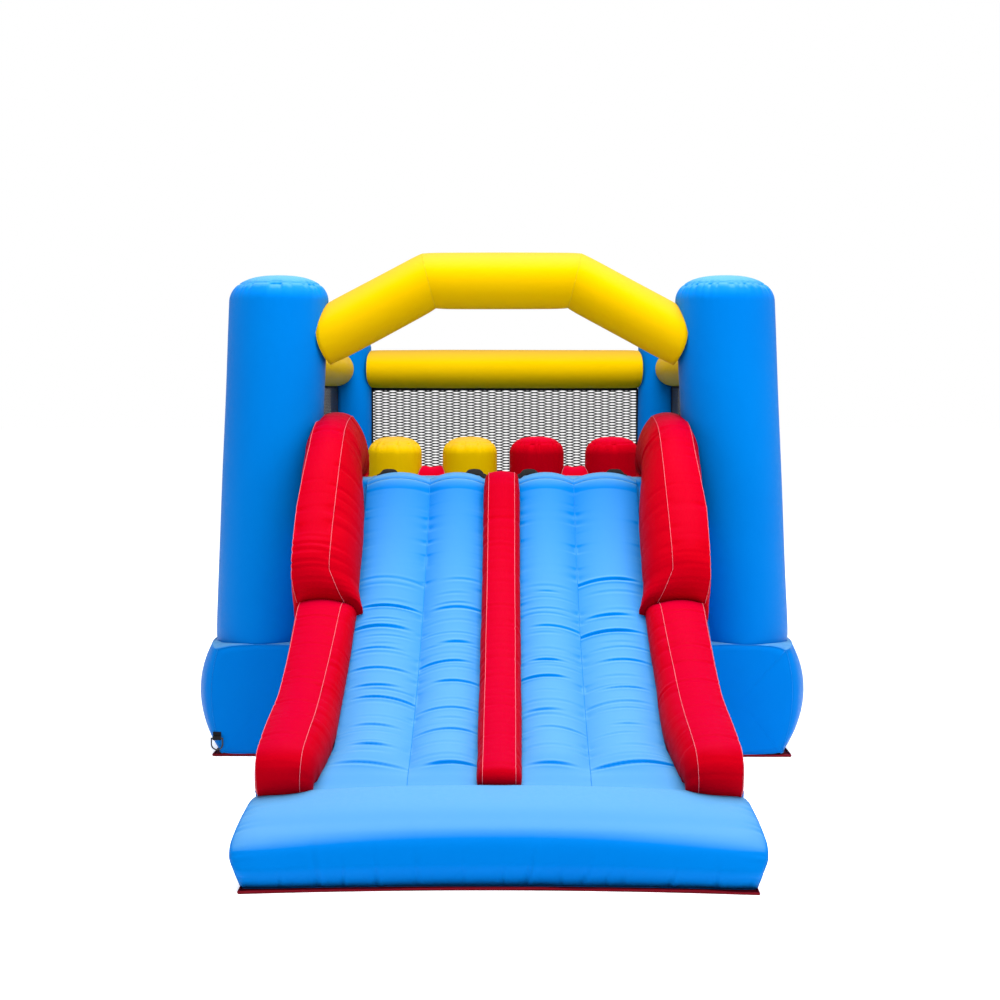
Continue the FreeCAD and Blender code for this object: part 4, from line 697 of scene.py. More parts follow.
def beam(node, axis, posts, seed, material=YELLOW, neck=0.0):
    """A tube along X (axis 0) or Y (axis 1), its ends shaped to the two posts that it meets."""
    low, high, start = box_of(node)
    radius = (high.z - low.z) / 2 if axis == 0 else (high.x - low.x) / 2
    end = start.copy()
    start[axis], end[axis] = low[axis], high[axis]
    rings = tube_rings([start, end], radius, 64, 0.035)
    way = np.array(end) - np.array(start)
    centre = rings[len(rings) // 2]
    first = reach_to_post(centre, -way, *posts[0])
    last = reach_to_post(centre, way, *posts[1])
    rings = first[None] + (last - first)[None] * eased(len(rings))[:, None, None]
    along = lengths(rings)
    dip = SEAM_DRAW * (np.exp(-along / 0.03) + np.exp(-(along[-1] - along) / 0.03))
    dip = dip + neck * np.exp(-((along - along[-1] / 2) / 0.022) ** 2)
    rings = end_gathers(uneven(squeezed(rings, dip), seed, 0.002, 2.5), seed + 1, depth=0.003)
    sewn(node, rings, material, [*seam_loops(rings), rings[:, 50]])


def upright_at(node):
    """The axis of a back post or pillar and the radius that meets it, for reach_to_post."""
    return tuple(box_of(node)[2]), UP, radius_of(node) + POST_GAP


for name, side in SIDES:
    posts = (front_post(side, POST_RADIUS + POST_GAP), upright_at(f"back_post_{name}"))
    beam(f"side_beam_{name}", 1, posts, 40 + side)
beam("back_beam", 0, [upright_at(f"back_post_{name}") for name, _ in SIDES], 44)
for name, side in SIDES:
    order = ("outer", "inner") if side < 0 else ("inner", "outer")
    posts = [upright_at(f"pillar_{rank}_{name}") for rank in order]
    beam(f"cross_bolster_{name}", 0, posts, 47 + side, RED, neck=0.10)


# ---- Base tubes: swelling side walls, end panels and a row of seams along the top
def base_tube(name, side):
    node = f"base_tube_{name}"
    low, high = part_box(node)
    inner, outer = widths(node)
    corners = [(inner, UNDER), (outer - 0.088, UNDER + 0.012),
               (outer - 0.050, high.z - 0.004), (inner, high.z + 0.008)]
    flat, gaps, marks = ring(corners, (0, 0.083, 0.020, 0.0), 26)
    dense = 0.30  # the rings stand closer together within this of each end
    ys = np.concatenate([np.linspace(low.y, low.y + dense, 30)[:-1],
                         np.linspace(low.y + dense, high.y - dense, 150)[:-1],
                         np.linspace(high.y - dense, high.y, 30)])
    rings = straight(flat * (side, 1), ys, 1)
    # Towards each end the outer wall and the top curve in to the end seam.
    close = rounding(np.minimum(ys - low.y, high.y - ys), 0.24)[:, None]
    swollen = np.clip(np.abs(rings[..., 0]) - (outer - 0.16), 0, None)
    rings[..., 0] -= side * swollen * 0.50 * close
    rings[..., 2] -= 0.016 * swell(rings[..., 2], 0.30, high.z) * close
    rings = puckered(uneven(rings, 60 + side, 0.003, 2.0), gaps, 61 + side, depth=0.005, width=0.05, pitch=0.05)
    rings = end_gathers(rings, 62 + side, depth=0.005, reach=0.09)
    rings[..., 2] = np.maximum(rings[..., 2], UNDER - 0.0005)
    seams = [*seam_loops(rings), *seam_paths(rings, marks[1:3])]
    sewn(node, rings, BLUE, seams, 0.012, 0.012, pleat=0.003, seed=63 + side)


for name, side in SIDES:
    base_tube(name, side)

low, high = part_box("base_tube_back")
corners = [(low.y, low.z), (high.y - 0.02, low.z + 0.01), (high.y - 0.02, high.z - 0.02), (low.y, high.z - 0.02)]
flat, gaps, marks = ring(corners, (0, 0.02, 0.020, 0), 22)
rings = uneven(straight(flat, np.linspace(low.x, high.x, 90), 0), 66, 0.003, 2.0)
rings = puckered(rings, gaps, 67, depth=0.004, width=0.05, pitch=0.05)
sewn("base_tube_back", rings, BLUE, seam_paths(rings, marks[1:3]))


# ---- Bounce floor: a row of ribs, held down along their seams
low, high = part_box("bounce_floor")
FLOOR_RIBS = 9
FLOOR_CROWN = 0.030
pitch = (high.x - low.x) / FLOOR_RIBS
edges = [(low.x + i * pitch, high.z - FLOOR_CROWN) for i in range(FLOOR_RIBS, -1, -1)]
flat, gaps, marks = ring([(low.x, low.z), (high.x, low.z), *edges], (0, 0, *[FLOOR_CROWN] * FLOOR_RIBS, 0), 12)
rings = straight(flat, np.linspace(low.y, high.y, 160), 1)
rings = puckered(rings, gaps, 71, depth=0.005, width=0.05, pitch=0.05)
sewn("bounce_floor", rings, BLUE, seam_paths(rings, marks[3:-1]))


# ---- Slide body: side panels that swell between the sheets inside
low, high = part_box("slide_body")
BODY_FRONT, BODY_BACK = low.y, high.y
PLATFORM_BACK = PLANE + 0.170
BED_UNDER = -0.038
TUFT_PITCH = 0.31
half = high.x
bed_y, bed_z = on_bed(BED_UNDER, np.linspace(BED_LOW, BED_HIGH, 40))
ys = np.concatenate([np.linspace(BODY_FRONT, PLANE - 0.06, 120), np.linspace(PLANE - 0.05, BODY_BACK, 44)])
heights = np.interp(ys, [*bed_y, PLANE - 0.05, PLATFORM_BACK, BODY_BACK],
                    [*bed_z, high.z, high.z, FLOOR_TOP + 0.002])
rings = []
for y, z in zip(ys, heights):
    bulge = 0.008 + 0.012 * abs(math.sin(math.pi * (y - BODY_FRONT) / TUFT_PITCH))
    corners = [(-half + 0.020, low.z), (half - 0.020, low.z), (half + 0.014, z), (-half - 0.014, z)]
    flat, gaps, marks = ring(corners, (0, bulge, 0, bulge), 20)
    rings.append(np.insert(flat, 1, y, axis=1))
rings = puckered(np.array(rings), gaps, 75, depth=0.003, width=0.05, pitch=0.04)
lines = []
for sign, places in ((1, slice(marks[1], marks[2])), (-1, slice(marks[3], None))):
    for k in range(1, 8):
        row = int(np.argmin(np.abs(ys - (BODY_FRONT + TUFT_PITCH * k))))
        lines.append(rings[row, places] + (sign * 0.0005, 0, 0))
sewn("slide_body", rings, BLUE, [*lines, *seam_paths(rings, marks[2:])])


# ---- Slide lanes: two ribs each, creased across where the bed bends
LANE_CROWN = 0.034
LANE_UNDER = -0.034
CREST_TURN = 0.11475  # how long the lane's turn on to the platform is
LANE_CREASES = ((0.190, 0.0080, 0), (0.085, 0.0022, 100))  # spacing, depth, and what the seed gains


def lane_path(count):
    """(y, z, up y, up z) along the lane: the bed's arc, then a turn on to the platform."""
    angles = np.linspace(BED_LOW, BED_HIGH - 1.3, int(count * 0.90))
    turn = np.radians(angles)
    spots = np.stack([*on_bed(0, angles), -np.sin(turn), np.cos(turn)], axis=1)
    share = np.linspace(0, 1, count - len(spots) + 1)[1:]
    lean = turn[-1] * (1 - swell(share, 0, 0.75))
    step = CREST_TURN / len(lean)
    y = spots[-1, 0] + np.cumsum(step * np.cos(lean))
    z = spots[-1, 1] + np.cumsum(step * np.sin(lean))
    z -= (z[-1] - PLATFORM_TOP) * share
    return np.vstack([spots, np.stack([y, z, -np.sin(lean), np.cos(lean)], axis=1)])


def creases(along, across, seed, start, stop, spacing, depth):
    """Frown-shaped creases across a rib. across runs from 0 at the rib's inner seam to 1."""
    draws = np.random.default_rng(seed)
    total = np.zeros((len(along), len(across)))
    at = start
    while at < stop:
        bow = draws.uniform(0.014, 0.032)
        strength = depth * draws.uniform(0.35, 1.0)
        low = draws.uniform(-0.25, 0.25)
        high = draws.uniform(0.80, 1.20)
        width = draws.uniform(0.0055, 0.0085)
        line = at + bow * np.sin(across * math.pi * 0.62)
        gap = (along[:, None] - line[None, :]) / width
        shape = -np.exp(-gap ** 2) + 0.55 * np.exp(-(gap - 1.9) ** 2) + 0.35 * np.exp(-(gap + 2.2) ** 2)
        fade = swell(across, low, low + 0.35) * (1 - swell(across, high - 0.35, high))
        total += strength * shape * fade[None, :]
        at += spacing * draws.uniform(0.4, 1.6)
    return total


path = lane_path(470)
lane_along = travelled(path[:, :2])
crest_row = int(np.argmin(np.abs(path[:, 1] - (PLATFORM_TOP - 0.018))))
for name, side in SIDES:
    node = f"slide_lane_{name}"
    inner, outer = widths(node)
    centre = (inner + outer) / 2 - 0.018
    corners = [(inner, LANE_UNDER), (outer, LANE_UNDER), (outer, 0.0), (centre, 0.0), (inner, 0.0)]
    flat, gaps, marks = ring(corners, (0, 0, LANE_CROWN, LANE_CROWN, 0), 26)
    x, rise = flat.T
    outside = (x - centre) / (outer - centre)
    across = np.where(x > centre, outside, (centre - x) / (centre - inner))
    # The ribs are flatter at the low end, where the lane drops and runs on under the cushion's top.
    flatter = 0.15 + 0.85 * swell(lane_along, 0.02, 0.20)[:, None]
    toe = 1 - swell(lane_along, 0, 0.06)[:, None]
    height = np.where(rise > 0, rise * flatter, rise) - 0.020 * toe
    for rib, seed in ((x > centre, 81 + side), (x <= centre, 85 + side)):
        for spacing, depth, extra in LANE_CREASES:
            found = creases(lane_along, across, seed + extra, 0.10, 1.45, spacing, depth)
            height = height + np.where(rib & (rise > 0), found, 0)
    # The crest's cross seam draws the ribs in a little.
    dent = np.exp(-((lane_along - lane_along[crest_row]) / 0.010) ** 2)[:, None] * (rise > -0.001)
    height = height - 0.006 * dent
    # The low end spreads to meet the walls' toes.
    spread = 0.060 * (1 - swell(lane_along, 0, 0.30))[:, None] * np.clip(outside, 0, 1)
    y, z, up_y, up_z = path.T[..., None]
    rings = np.stack([side * (x + spread), y - 0.035 * toe + height * up_y, z + height * up_z], axis=2)
    rings = puckered(rings, gaps, 88 + side, depth=0.0025)
    crest_seam = rings[crest_row, marks[2]:marks[4] + 1] + (0, -0.0004, 0.0008)
    sewn(node, rings, BLUE, [*seam_paths(rings, (marks[3],)), crest_seam])


# ---- Walls and divider: cross-sections that fan from a line along the foot to the crown
def fanned(crown, foot, low_x, high_x, low_seam, high_seam, bulges, steps, side=1):
    """Rings between foot and crown, both lists of (y, z). Seams run along the crown's two edges,
    at low_seam and high_seam, and three faces swell by bulges: high side, top, low side."""
    high_side, top, low_side = bulges
    each = [np.broadcast_to(v, len(crown)) for v in (low_x, high_x, low_seam, high_seam, high_side, low_side)]
    rings = []
    for (ty, tz), (fy, fz), a, b, c, d, high_bulge, low_bulge in zip(crown, foot, *each):
        tall = math.hypot(ty - fy, tz - fz)
        seam_at = tall - min(top, tall / 4)
        share = min(1, tall / 0.14)
        corners = [(a, 0.0), (b, 0.0), (d, seam_at), (c, seam_at)]
        flat, gaps, marks = ring(corners, (0, high_bulge * share, top, low_bulge * share), steps)
        up = flat[:, 1] / tall
        rings.append(np.stack([side * flat[:, 0], fy + (ty - fy) * up, fz + (tz - fz) * up], axis=1))
    return np.array(rings), gaps, marks


TOE_FOOT = 14.0  # the foot's lowest point, in degrees


def foot_under(crown):
    """The points under a crown along the bed's underside."""
    angles = np.array([max(bed_angle(point), TOE_FOOT) for point in crown])
    return np.stack(on_bed(LANE_UNDER, angles), axis=1)


def top_creases(rings, marks, travel, draws):
    """Creases over the top face of a wall, and a little way down its sides."""
    place = np.linspace(0, 1, rings.shape[1])
    face = swell(np.arange(rings.shape[1]), marks[2] - 3, marks[2] + 3)
    return pushed(rings, sum(creases(travel, place, *draw) for draw in draws) * face)


DIVIDER_SEAM = 0.062
DIVIDER_SIDE = 0.066
crown = curve_through([
    (PLANE - 1.925, 0.268), (PLANE - 1.946, 0.312), (PLANE - 1.922, 0.356), on_bed(0.086, 15.0),
    *[on_bed(0.088, a) for a in (18, 24, 30, 36, 41)], on_bed(0.092, 43.6), on_bed(0.088, 45.2),
    on_bed(0.064, 46.4), on_bed(0.030, 46.9),
], 260)
rings, gaps, marks = fanned(crown, foot_under(crown), -DIVIDER_SIDE, DIVIDER_SIDE, -DIVIDER_SEAM, DIVIDER_SEAM,
                            (0.026, 0.012, 0.026), 18)
rings = top_creases(rings, marks, travelled(crown), ((91, 0.1, 1.9, 0.15, 0.0024), (92, 0.05, 1.9, 0.05, 0.0011)))
rings = puckered(uneven(rings, 90, 0.002, 4), gaps, 93, depth=0.003)
sewn("slide_divider", rings, RED, seam_paths(rings, marks[2:]), end=0.012)


# ---- Lower slide walls, from the rounded toe on the cushion up to the fold
def lower_wall(name, side):
    node = f"slide_wall_lower_{name}"
    inner, outer = widths(node)
    crown = curve_through([
        (PLANE - 1.972, 0.236), (PLANE - 2.012, 0.300), (PLANE - 2.010, 0.380), (PLANE - 1.964, 0.438),
        (PLANE - 1.885, 0.468), on_bed(0.176, 16.6), on_bed(0.160, 20), on_bed(0.148, 24),
        on_bed(0.140, 28), on_bed(0.128, FOLD - 1.2), on_bed(0.104, FOLD),
    ], 200)
    travel = travelled(crown)
    lap = np.interp(travel, (0, 0.10, 0.5, 0.9, travel[-1]), (0.742, 0.740, 0.722, 0.716, 0.700))
    rim = np.interp(travel, (0, 0.2, 0.7, travel[-1]), (0.902, 0.906, 0.886, 0.888))
    toe = 1 - swell(travel, 0.04, 0.62)
    rings, gaps, marks = fanned(crown, foot_under(crown), inner + 0.010 + 0.070 * toe, outer - 0.012 + 0.010 * toe,
                                lap, rim, (0.014, 0.018, 0.042), 24, side)
    rings = top_creases(rings, marks, travel, (
        (101 + side, 0.30, travel[-1], 0.26, 0.0034), (104 + side, 0.10, travel[-1], 0.09, 0.0011),
    ))
    rings = puckered(uneven(rings, 107 + side, 0.003, 4), gaps, 108 + side, depth=0.004)
    sewn(node, rings, RED, seam_paths(rings, marks[2:]))


# ---- Upper slide walls, from the fold up and over to the platform
def upper_wall(name, side):
    node = f"slide_wall_upper_{name}"
    inner, outer = widths(node)
    crown = curve_through([
        on_bed(0.100, FOLD + 0.1), (PLANE - 0.868, 0.895), (PLANE - 0.868, 0.962), (PLANE - 0.830, 1.055),
        (PLANE - 0.745, 1.150), (PLANE - 0.625, 1.265), (PLANE - 0.440, 1.437), (PLANE - 0.245, 1.582),
        (PLANE - 0.060, 1.640), (PLANE + 0.110, 1.653), (PLANE + 0.225, 1.618), (PLANE + 0.285, 1.545),
        (PLANE + 0.298, 1.440),
    ], 210)
    travel = travelled(crown)
    on_slope = 126  # this many rings stand on the bed, and the rest on the platform
    foot = np.vstack([
        np.stack(on_bed(LANE_UNDER, np.linspace(FOLD + 0.1, BED_HIGH, on_slope)), axis=1),
        np.linspace((CREST[0], PLATFORM_TOP + 0.003), (PLANE + 0.270, PLATFORM_TOP + 0.003), len(crown) - on_slope),
    ])
    lap = np.interp(travel, (0, 0.06, 0.16, 0.8, travel[-1]), (0.692, 0.716, 0.757, 0.752, 0.738))
    rim = np.interp(travel, (0, 0.12, 0.5, 0.9, travel[-1]),
                    (0.902, outer - 0.008, outer - 0.002, outer - 0.026, outer - 0.044))
    outer_swell = 0.010 + 0.026 * swell(travel, 0.5, 0.9)
    inner_swell = np.interp(travel, (0, 0.5, 1.0, travel[-1]), (0.070, 0.064, 0.050, 0.046))
    rings, gaps, marks = fanned(crown, foot, inner + 0.010 + 0.038 * swell(travel, 0.6, 1.1), outer - 0.012, lap, rim,
                                (outer_swell, 0.020, inner_swell), 26, side)
    rings = top_creases(rings, marks, travel, (
        (121 + side, 0.02, 0.30, 0.060, 0.0040), (124 + side, 0.3, travel[-1], 0.12, 0.0010),
    ))
    rings = puckered(uneven(rings, 127 + side, 0.003, 4), gaps, 128 + side, depth=0.005, width=0.035, pitch=0.03)
    # Beside the post the outer face is pressed in.
    axis_x = side * POST_SPREAD - side * math.tan(LEAN) * (rings[..., 2] - BASE_TOP)
    press = np.sqrt(np.maximum((POST_RADIUS + POST_GAP) ** 2 - (rings[..., 1] - PLANE) ** 2, 0))
    limit = np.abs(axis_x) - press
    hit = (press > 0) & (np.abs(rings[..., 0]) > limit)
    rings[..., 0] = np.where(hit, side * limit, rings[..., 0])
    sewn(node, rings, RED, seam_paths(rings, marks[2:]), end=0.012)


for name, side in SIDES:
    lower_wall(name, side)
    upper_wall(name, side)


# ---- Climbing wall with cross ribs, and a rail on each side of it
CLIMB_RIBS = 6
CLIMB_ROWS = 150
SLOPE_TOP = np.array((PLATFORM_BACK + 0.002, PLATFORM_TOP))
SLOPE_FOOT = np.array((BODY_BACK + 0.002, FLOOR_TOP + 0.002))


def on_slope(share):
    """(y, z) on the climbing wall's slope, from its foot at 0 to the platform at 1."""
    return SLOPE_FOOT + (SLOPE_TOP - SLOPE_FOOT) * share


low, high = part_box("climbing_wall")
rings = []
for t in np.linspace(0, 1, CLIMB_ROWS):
    y, z = on_slope(t)
    back = y + (high.y - SLOPE_FOOT[0]) - 0.050 + 0.045 * np.abs(np.sin(t * math.pi * CLIMB_RIBS))
    corners = [(low.x + 0.004, y), (high.x - 0.004, y), (high.x - 0.010, back), (low.x + 0.010, back)]
    flat, gaps, marks = ring(corners, (0, 0.003, 0.004, 0.003), 22)
    rings.append(np.insert(flat, 2, z, axis=1))
rings = puckered(np.array(rings), gaps, 141, depth=0.004, width=0.05, pitch=0.04)
seam_rows = [int(round((CLIMB_ROWS - 1) * k / CLIMB_RIBS)) for k in range(1, CLIMB_RIBS)]
sewn("climbing_wall", rings, BLUE, [rings[i, marks[2]:marks[3] + 1] + (0, 0.0006, 0) for i in seam_rows])

RAIL_DEEP = 0.300
RAIL_SLOPE = 0.86  # the share of a rail's rings on the slope. The rest stand on the platform.
for name, side in SIDES:
    node = f"climb_rail_{name}"
    low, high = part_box(node)
    inner, outer = widths(node)
    top_seam = high.z - 0.028
    wall_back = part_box(f"slide_wall_upper_{name}")[1].y + 0.002
    rings = []
    for t in np.linspace(0, 1, 130):
        y, z = on_slope(min(t / RAIL_SLOPE, 1))
        back = y + RAIL_DEEP - 0.030
        if t > RAIL_SLOPE:
            y = wall_back
            z = PLATFORM_TOP + (t - RAIL_SLOPE) / (1 - RAIL_SLOPE) * (top_seam - PLATFORM_TOP)
        corners = [(inner + 0.040, y), (outer - 0.012, y), (outer - 0.008, back), (inner + 0.046, back)]
        flat, gaps, marks = ring(corners, (0, 0.010, 0.030, 0.014), 18)
        rings.append(np.insert(flat * (side, 1), 2, z, axis=1))
    rings = uneven(np.array(rings), 151 + side, 0.003, 4)
    rings = puckered(rings, gaps, 152 + side, depth=0.004, width=0.04, pitch=0.03)
    sewn(node, rings, RED, seam_paths(rings, marks[2:]), end=0.026, pleat=0.003, seed=153)


# ---- Landing cushion: crowned on top, its ends sloping down to their end panels
def landing_cushion():
    low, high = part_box("landing_pillow")
    back, front = high.y, low.y
    profile = curve_through([
        (back + 0.006, high.z - 0.012), (back - 0.004, high.z + 0.020), (back - 0.060, high.z + 0.034),
        (back - 0.150, high.z + 0.022), (back - 0.235, high.z + 0.002), (front + 0.115, high.z - 0.028),
        (front + 0.064, high.z - 0.056), (front + 0.027, high.z - 0.096), (front + 0.006, high.z - 0.150),
        (front + 0.003, 0.085), (front + 0.020, 0.040), (front + 0.046, low.z),
    ], 86)
    bottom = np.linspace((front + 0.046, low.z), (back, low.z), 16)[1:]
    rear = np.linspace((back, low.z), (back, high.z - 0.012), 10)[1:-1]
    flat = np.vstack([profile, bottom, rear])
    rim = len(profile) - 1  # the bottom seam
    xs = np.linspace(low.x, high.x, 240)
    rings = straight(flat, xs, 0)
    close = rounding(np.minimum(xs - low.x, high.x - xs), 0.11)[:, None]
    tall = (rings[..., 2] - low.z) / (high.z - low.z)
    off_middle = (rings[..., 0] / high.x) ** 2
    rings[..., 2] -= (0.028 * close + 0.034 * off_middle) * np.clip(tall, 0, 1) ** 1.2
    ahead = swell(-rings[..., 1], -(front + 0.12), -front)
    rings[..., 0] *= 1 - 0.026 * (1 - swell(rings[..., 2], 0.0, 0.17))
    behind = swell(rings[..., 1], front, back) * swell(tall, 0.5, 1)
    rings[..., 0] *= 1 + 0.014 * swell(tall, 0.25, 0.60) - 0.024 * behind
    rings[..., 1] += 0.022 * close * ahead + 0.030 * (1 - off_middle) * ahead * (1 - np.clip(tall, 0, 1))
    rings[..., 1] -= 0.030 * off_middle * ahead
    # Creases run up the front from the bottom seam.
    draws = np.random.default_rng(161)
    spot_x = low.x
    outs = outward(rings)
    reach = travelled(flat)
    from_seam = np.abs(reach[rim] - reach)
    while spot_x < high.x:
        tall_crease = draws.uniform(0.05, 0.17)
        slant = draws.uniform(-0.25, 0.25)
        width = draws.uniform(0.006, 0.012)
        depth = draws.uniform(0.0015, 0.0065)
        line = spot_x + slant * from_seam
        across = (xs[:, None] - line[None, :]) / width
        shape = -np.exp(-across ** 2) + 0.5 * np.exp(-(across - 1.8) ** 2)
        fade = np.exp(-(from_seam / tall_crease) ** 2) * swell(from_seam, 0, 0.01)
        fade = fade * (np.arange(len(flat)) <= rim)
        rings = rings + outs * (depth * shape * fade[None, :])[..., None]
        spot_x += draws.uniform(0.06, 0.20)
    rings = end_gathers(uneven(rings, 163, 0.004, 2.4), 164, depth=0.005, reach=0.08, count=40)
    rings[..., 2] = np.maximum(rings[..., 2], low.z)
    seams = [*seam_loops(rings), *seam_paths(rings, (rim,))]
    sewn("landing_pillow", rings, BLUE, seams, 0.026, 0.026, pleat=0.006, seed=165)


landing_cushion()


# ---- Inner sheets of the slide and the cushion, the cushion's own cut lower than its rounded top
def inner_sheets():
    low, high, centre = box_of("landing_pillow")
    cad = frame["nodes"]["slide_baffles"]
    points = np.array([cad.matrix_world @ v.co for v in cad.data.vertices])
    centre = np.array((centre.y + 0.02, centre.z - 0.02))
    in_cushion = points[:, 1] < high.y
    points[in_cushion, 1:] = centre + (points[in_cushion, 1:] - centre) * 0.72
    obj = shown("slide_inner_sheets", points, [tuple(f.vertices) for f in cad.data.polygons], INNER, smooth=False)
    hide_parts("slide_baffles")


inner_sheets()


# ---- Ground sheet: one cut piece, its hem turned up a little
def ground_sheet():
    low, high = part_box("ground_sheet")
    wide, narrow = high.x, 0.915
    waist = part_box("base_tube_left")[0].y
    edge = [(-narrow, low.y), (narrow, low.y), (narrow, waist), (wide, waist), (wide, high.y), (-wide, high.y),
            (-wide, waist), (-narrow, waist)]
    rim = []
    for a, b in zip(edge, edge[1:] + edge[:1]):
        steps = max(2, int(math.dist(a, b) / 0.03))
        rim.extend(np.linspace(a, b, steps, endpoint=False))
    rim = np.array(rim)
    # The front edge is hollow, and its corners stand forward.
    ahead = swell(-rim[:, 1], -waist, -low.y)
    rim[:, 1] += ahead * (0.030 - 0.048 * (rim[:, 0] / narrow) ** 2)
    work = bmesh.new()
    lower, upper = ([work.verts.new((x, y, z)) for x, y in rim] for z in (low.z, high.z))
    for a, b, c in tessellate_polygon([[Vector((x, y, 0)) for x, y in rim]]):
        work.faces.new((upper[a], upper[b], upper[c]))
        work.faces.new((lower[c], lower[b], lower[a]))
    for i, k in enumerate([*range(1, len(rim)), 0]):
        work.faces.new((lower[i], lower[k], upper[k], upper[i]))
    bmesh.ops.recalc_face_normals(work, faces=work.faces)
    mesh = bpy.data.meshes.new("ground_sheet_cloth")
    work.to_mesh(mesh)
    work.free()
    mesh.materials.append(GROUND)
    obj = placed(mesh)
    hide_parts("ground_sheet")
    hem_height = 0.007 + 0.003 * noise(np.stack([rim[:, 0], rim[:, 1], rim[:, 0] * 0], 1), 7, 171)
    hem_path = np.column_stack([rim, hem_height])
    hem = tubes("ground_sheet_hem", [hem_path], 0.004, GROUND, sides=8, closed=True)


ground_sheet()

# ---- Netting: wavy cords that touch at every second crossing, with a webbing border
NET_ROW = 0.0104
NET_WAVE = 0.104
CORD = 0.0042  # the cords' radius
BORDER = 0.022  # how wide the webbing is


def net(name, node, axis, start=None, end=None, body=BODY):
    """A panel of netting in a node's place, with its border. It runs along X (axis 0) or Y
    (axis 1) from start to end, or from side to side of the node."""
    low, high, spot = box_of(node)
    start = low[axis] if start is None else start
    wide = (high[axis] if end is None else end) - start
    tall = high.z - low.z
    origin = np.array((spot.x, spot.y, low.z))
    origin[axis] = start
    run = np.eye(3)[axis]
    u = np.linspace(0, wide, max(2, int(wide / NET_WAVE * 6)) + 1)
    paths = []
    for i in range(int(tall / NET_ROW)):
        sign = 1 if i % 2 else -1
        z = np.clip(NET_ROW * (i + 0.5 + 0.47 * sign * np.cos(2 * math.pi * u / NET_WAVE)), 0, tall)
        paths.append(origin + u[:, None] * run + z[:, None] * np.array(UP))
    mesh = tubes(name, paths, CORD, NET, sides=3, body=body)
    rim = [origin + a * run + (0, 0, b) for a, b in ((0, 0), (wide, 0), (wide, tall), (0, tall))]
    for k, (a, b) in enumerate(zip(rim, rim[1:] + rim[:1])):
        wide_way = np.cross((b - a) / np.linalg.norm(b - a), np.cross(run, UP))
        strap(f"{name}_tape_{k}", np.linspace(a, b, 12), wide_way, BORDER, 0.005, body=body)
    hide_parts(node)


straps_low, straps_high, straps_middle = box_of("door_straps")
net("net_left_mesh", "net_left", 1)
net("net_back_mesh", "net_back", 0)
net("net_door_mesh", "net_door", 1, body="door")
net("net_right_mesh", "net_right", 1, start=straps_high.y)
net("net_right_front_mesh", "net_right", 1, end=straps_low.y)


def upright_line(x, y):
    """An upright line as tall as the door's straps."""
    return np.linspace((x, y, straps_low.z), (x, y, straps_high.z), 24)


for k, y in enumerate((straps_low.y + BORDER / 2, straps_high.y - BORDER / 2)):
    band = strap(f"door_strap_{k}", upright_line(straps_middle.x, y), (0, 1, 0), BORDER, 0.006)
    if k == 0:
        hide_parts("door_straps")

# Piping along the hinge strap, which the door turns about.
hinge = next(j for j in frame["record"]["behaviour"]["joints"] if j["name"] == "door_swing")["pos_m"]
piping = tubes("door_hinge_piping", [upright_line(*hinge[:2])], 0.003, WEBBING, sides=10)

# ---- Grab handles: arched webbing with its ends stitched down
HANDLES = (-0.555, -0.135, 0.135, 0.555)
HANDLE_ARCH = ((-0.060, 0), (-0.046, 0.006), (-0.028, 0.024), (0, 0.028), (0.028, 0.024), (0.046, 0.006), (0.060, 0))
handles_low, handles_high, handles_middle = box_of("grab_handles")
for k, x in enumerate(HANDLES):
    line = curve_through([(x + a, handles_middle.y, PLATFORM_TOP + 0.004 + b) for a, b in HANDLE_ARCH], 48)
    wide = (handles_high.y - handles_low.y) * 0.9
    handle = strap(f"grab_handle_{k}", line, (0, 0.72, 0.69), wide, 0.005)
    if k == 0:
        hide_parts("grab_handles")

# ---- CAD pieces that keep their shape
FINISHES = {
    "ring_metal": moulded("black_coated_wire", (0.012, 0.012, 0.013), 0.35, 300),
    "zip_fabric": plain_weave("zip_tape_weave", (0.012, 0.012, 0.014)),
    "zip_metal": moulded("black_zip_metal", (0.03, 0.03, 0.03), 0.3, 300, metal=1.0),
    "blower_shell": moulded("dark_blower_shell", (0.030, 0.032, 0.038), 0.42),
    "black_plastic": moulded("black_moulding", (0.012, 0.012, 0.013), 0.5),
    "rocker_plastic": moulded("red_rocker", (0.45, 0.012, 0.010), 0.25),
    "foot_rubber": moulded("black_rubber", (0.018, 0.018, 0.018), 0.8, 600, depth=0.0006),
    "motor_case": moulded("grey_motor_case", (0.16, 0.17, 0.18), 0.35, 200, metal=0.8),
    "steel": moulded("bright_steel", (0.55, 0.55, 0.57), 0.28, 500, metal=1.0),
    "webbing": WEBBING,
    "inner_fabric": INNER,
    "sleeve_fabric": BLUE,
}
slot_of = {part["node"]: part["material_slot"] for part in frame["record"]["subparts"]}
for node, obj in frame["nodes"].items():
    finish = FINISHES.get(slot_of[node])
    if finish is not None:
        obj.data.materials.clear()
        obj.data.materials.append(finish)

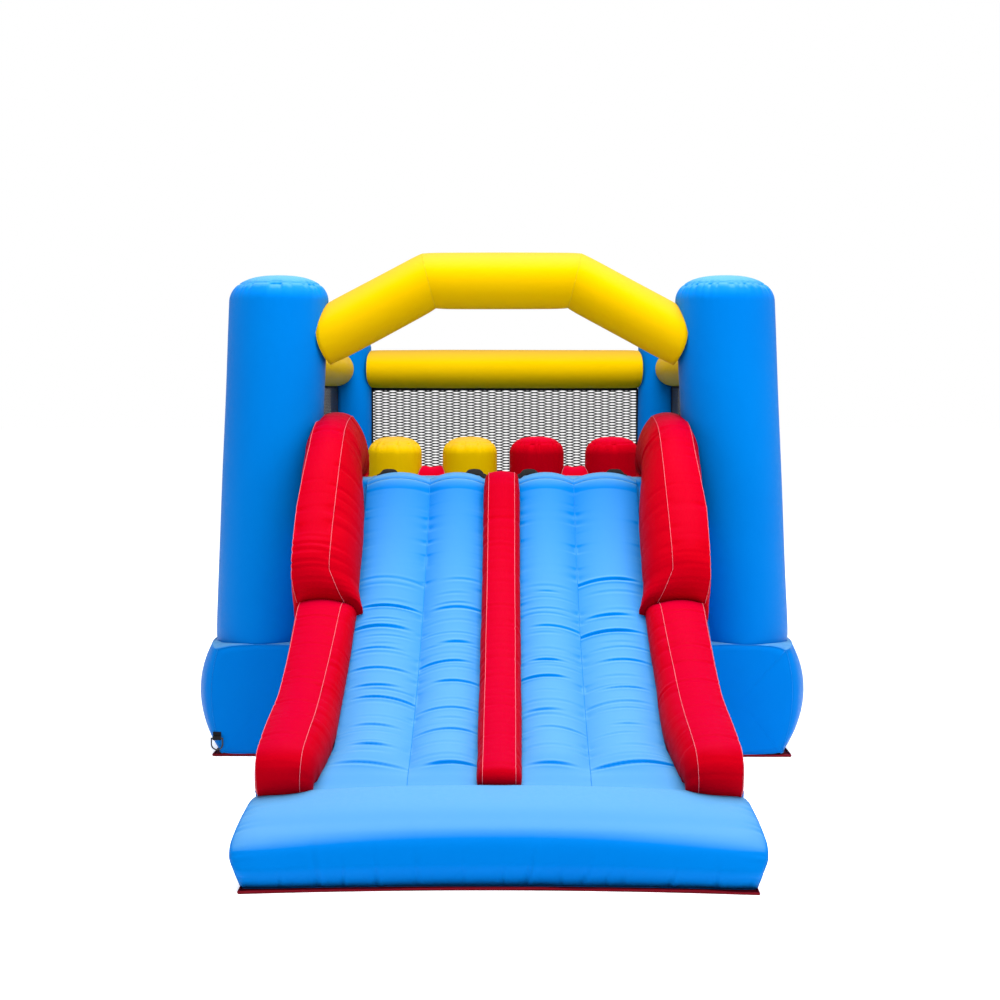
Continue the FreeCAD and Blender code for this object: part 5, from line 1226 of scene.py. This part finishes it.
# ---- Floor, light and camera
look = Look("pale_floor")
look.set(Base_Color=(0.93, 0.93, 0.93, 1), Roughness=0.9, Specular_IOR_Level=0.1, Emission_Color=(1, 1, 1, 1))
seen = look.ranged(look.out("LightPath", "Is Camera Ray"), 0, 1, 0.30, 0.60)
look.links.new(seen, look.inputs["Emission Strength"])
floor_mesh = bpy.data.meshes.new("floor")
SPAN = 60
floor_mesh.from_pydata([(-SPAN, -SPAN, 0), (SPAN, -SPAN, 0), (SPAN, SPAN, 0), (-SPAN, SPAN, 0)], [], [(0, 1, 2, 3)])
floor_mesh.materials.append(look.material)
floor = bpy.data.objects.new("floor", floor_mesh)
bpy.context.scene.collection.objects.link(floor)

world = bpy.data.worlds.new("studio")
world.use_nodes = True
nodes, links = world.node_tree.nodes, world.node_tree.links
sky = nodes["Background"]
sky.inputs["Color"].default_value = (1.0, 1.0, 1.0, 1)
sky.inputs["Strength"].default_value = 0.46
backdrop = nodes.new("ShaderNodeBackground")
backdrop.inputs["Color"].default_value = (1, 1, 1, 1)
choice = nodes.new("ShaderNodeMixShader")
links.new(nodes.new("ShaderNodeLightPath").outputs["Is Camera Ray"], choice.inputs["Fac"])
links.new(sky.outputs["Background"], choice.inputs[1])
links.new(backdrop.outputs["Background"], choice.inputs[2])
links.new(choice.outputs["Shader"], nodes["World Output"].inputs["Surface"])
bpy.context.scene.world = world


def softbox(name, at, target, size, power):
    """A square lamp that faces a target."""
    light = bpy.data.lights.new(name, "AREA")
    light.shape = "RECTANGLE"
    light.size, light.size_y = size
    light.energy = power
    obj = bpy.data.objects.new(name, light)
    obj.location = at
    obj.rotation_euler = (Vector(target) - Vector(at)).to_track_quat("-Z", "Y").to_euler()
    bpy.context.scene.collection.objects.link(obj)


softbox("overhead", (0.4, -2.6, 7.5), (0, -1.4, 0), (7, 7), 1250)
softbox("right_front", (6.5, -6.5, 5.0), (0.3, -1.0, 0.9), (4, 4), 150)

EYE = (0.04, PLANE - 7.8, 1.77)
PITCH = math.radians(4.0)
YAW = math.radians(0.36)
LENS = 57.2
camera = bpy.data.objects.new("camera", bpy.data.cameras.new("camera"))
camera.data.lens = LENS
camera.data.sensor_width = 36
camera.data.clip_end = 200
camera.location = EYE
camera.rotation_euler = (math.pi / 2 - PITCH, 0, YAW)
bpy.context.scene.collection.objects.link(camera)
bpy.context.scene.camera = camera
bpy.context.scene.view_settings.view_transform = "Standard"
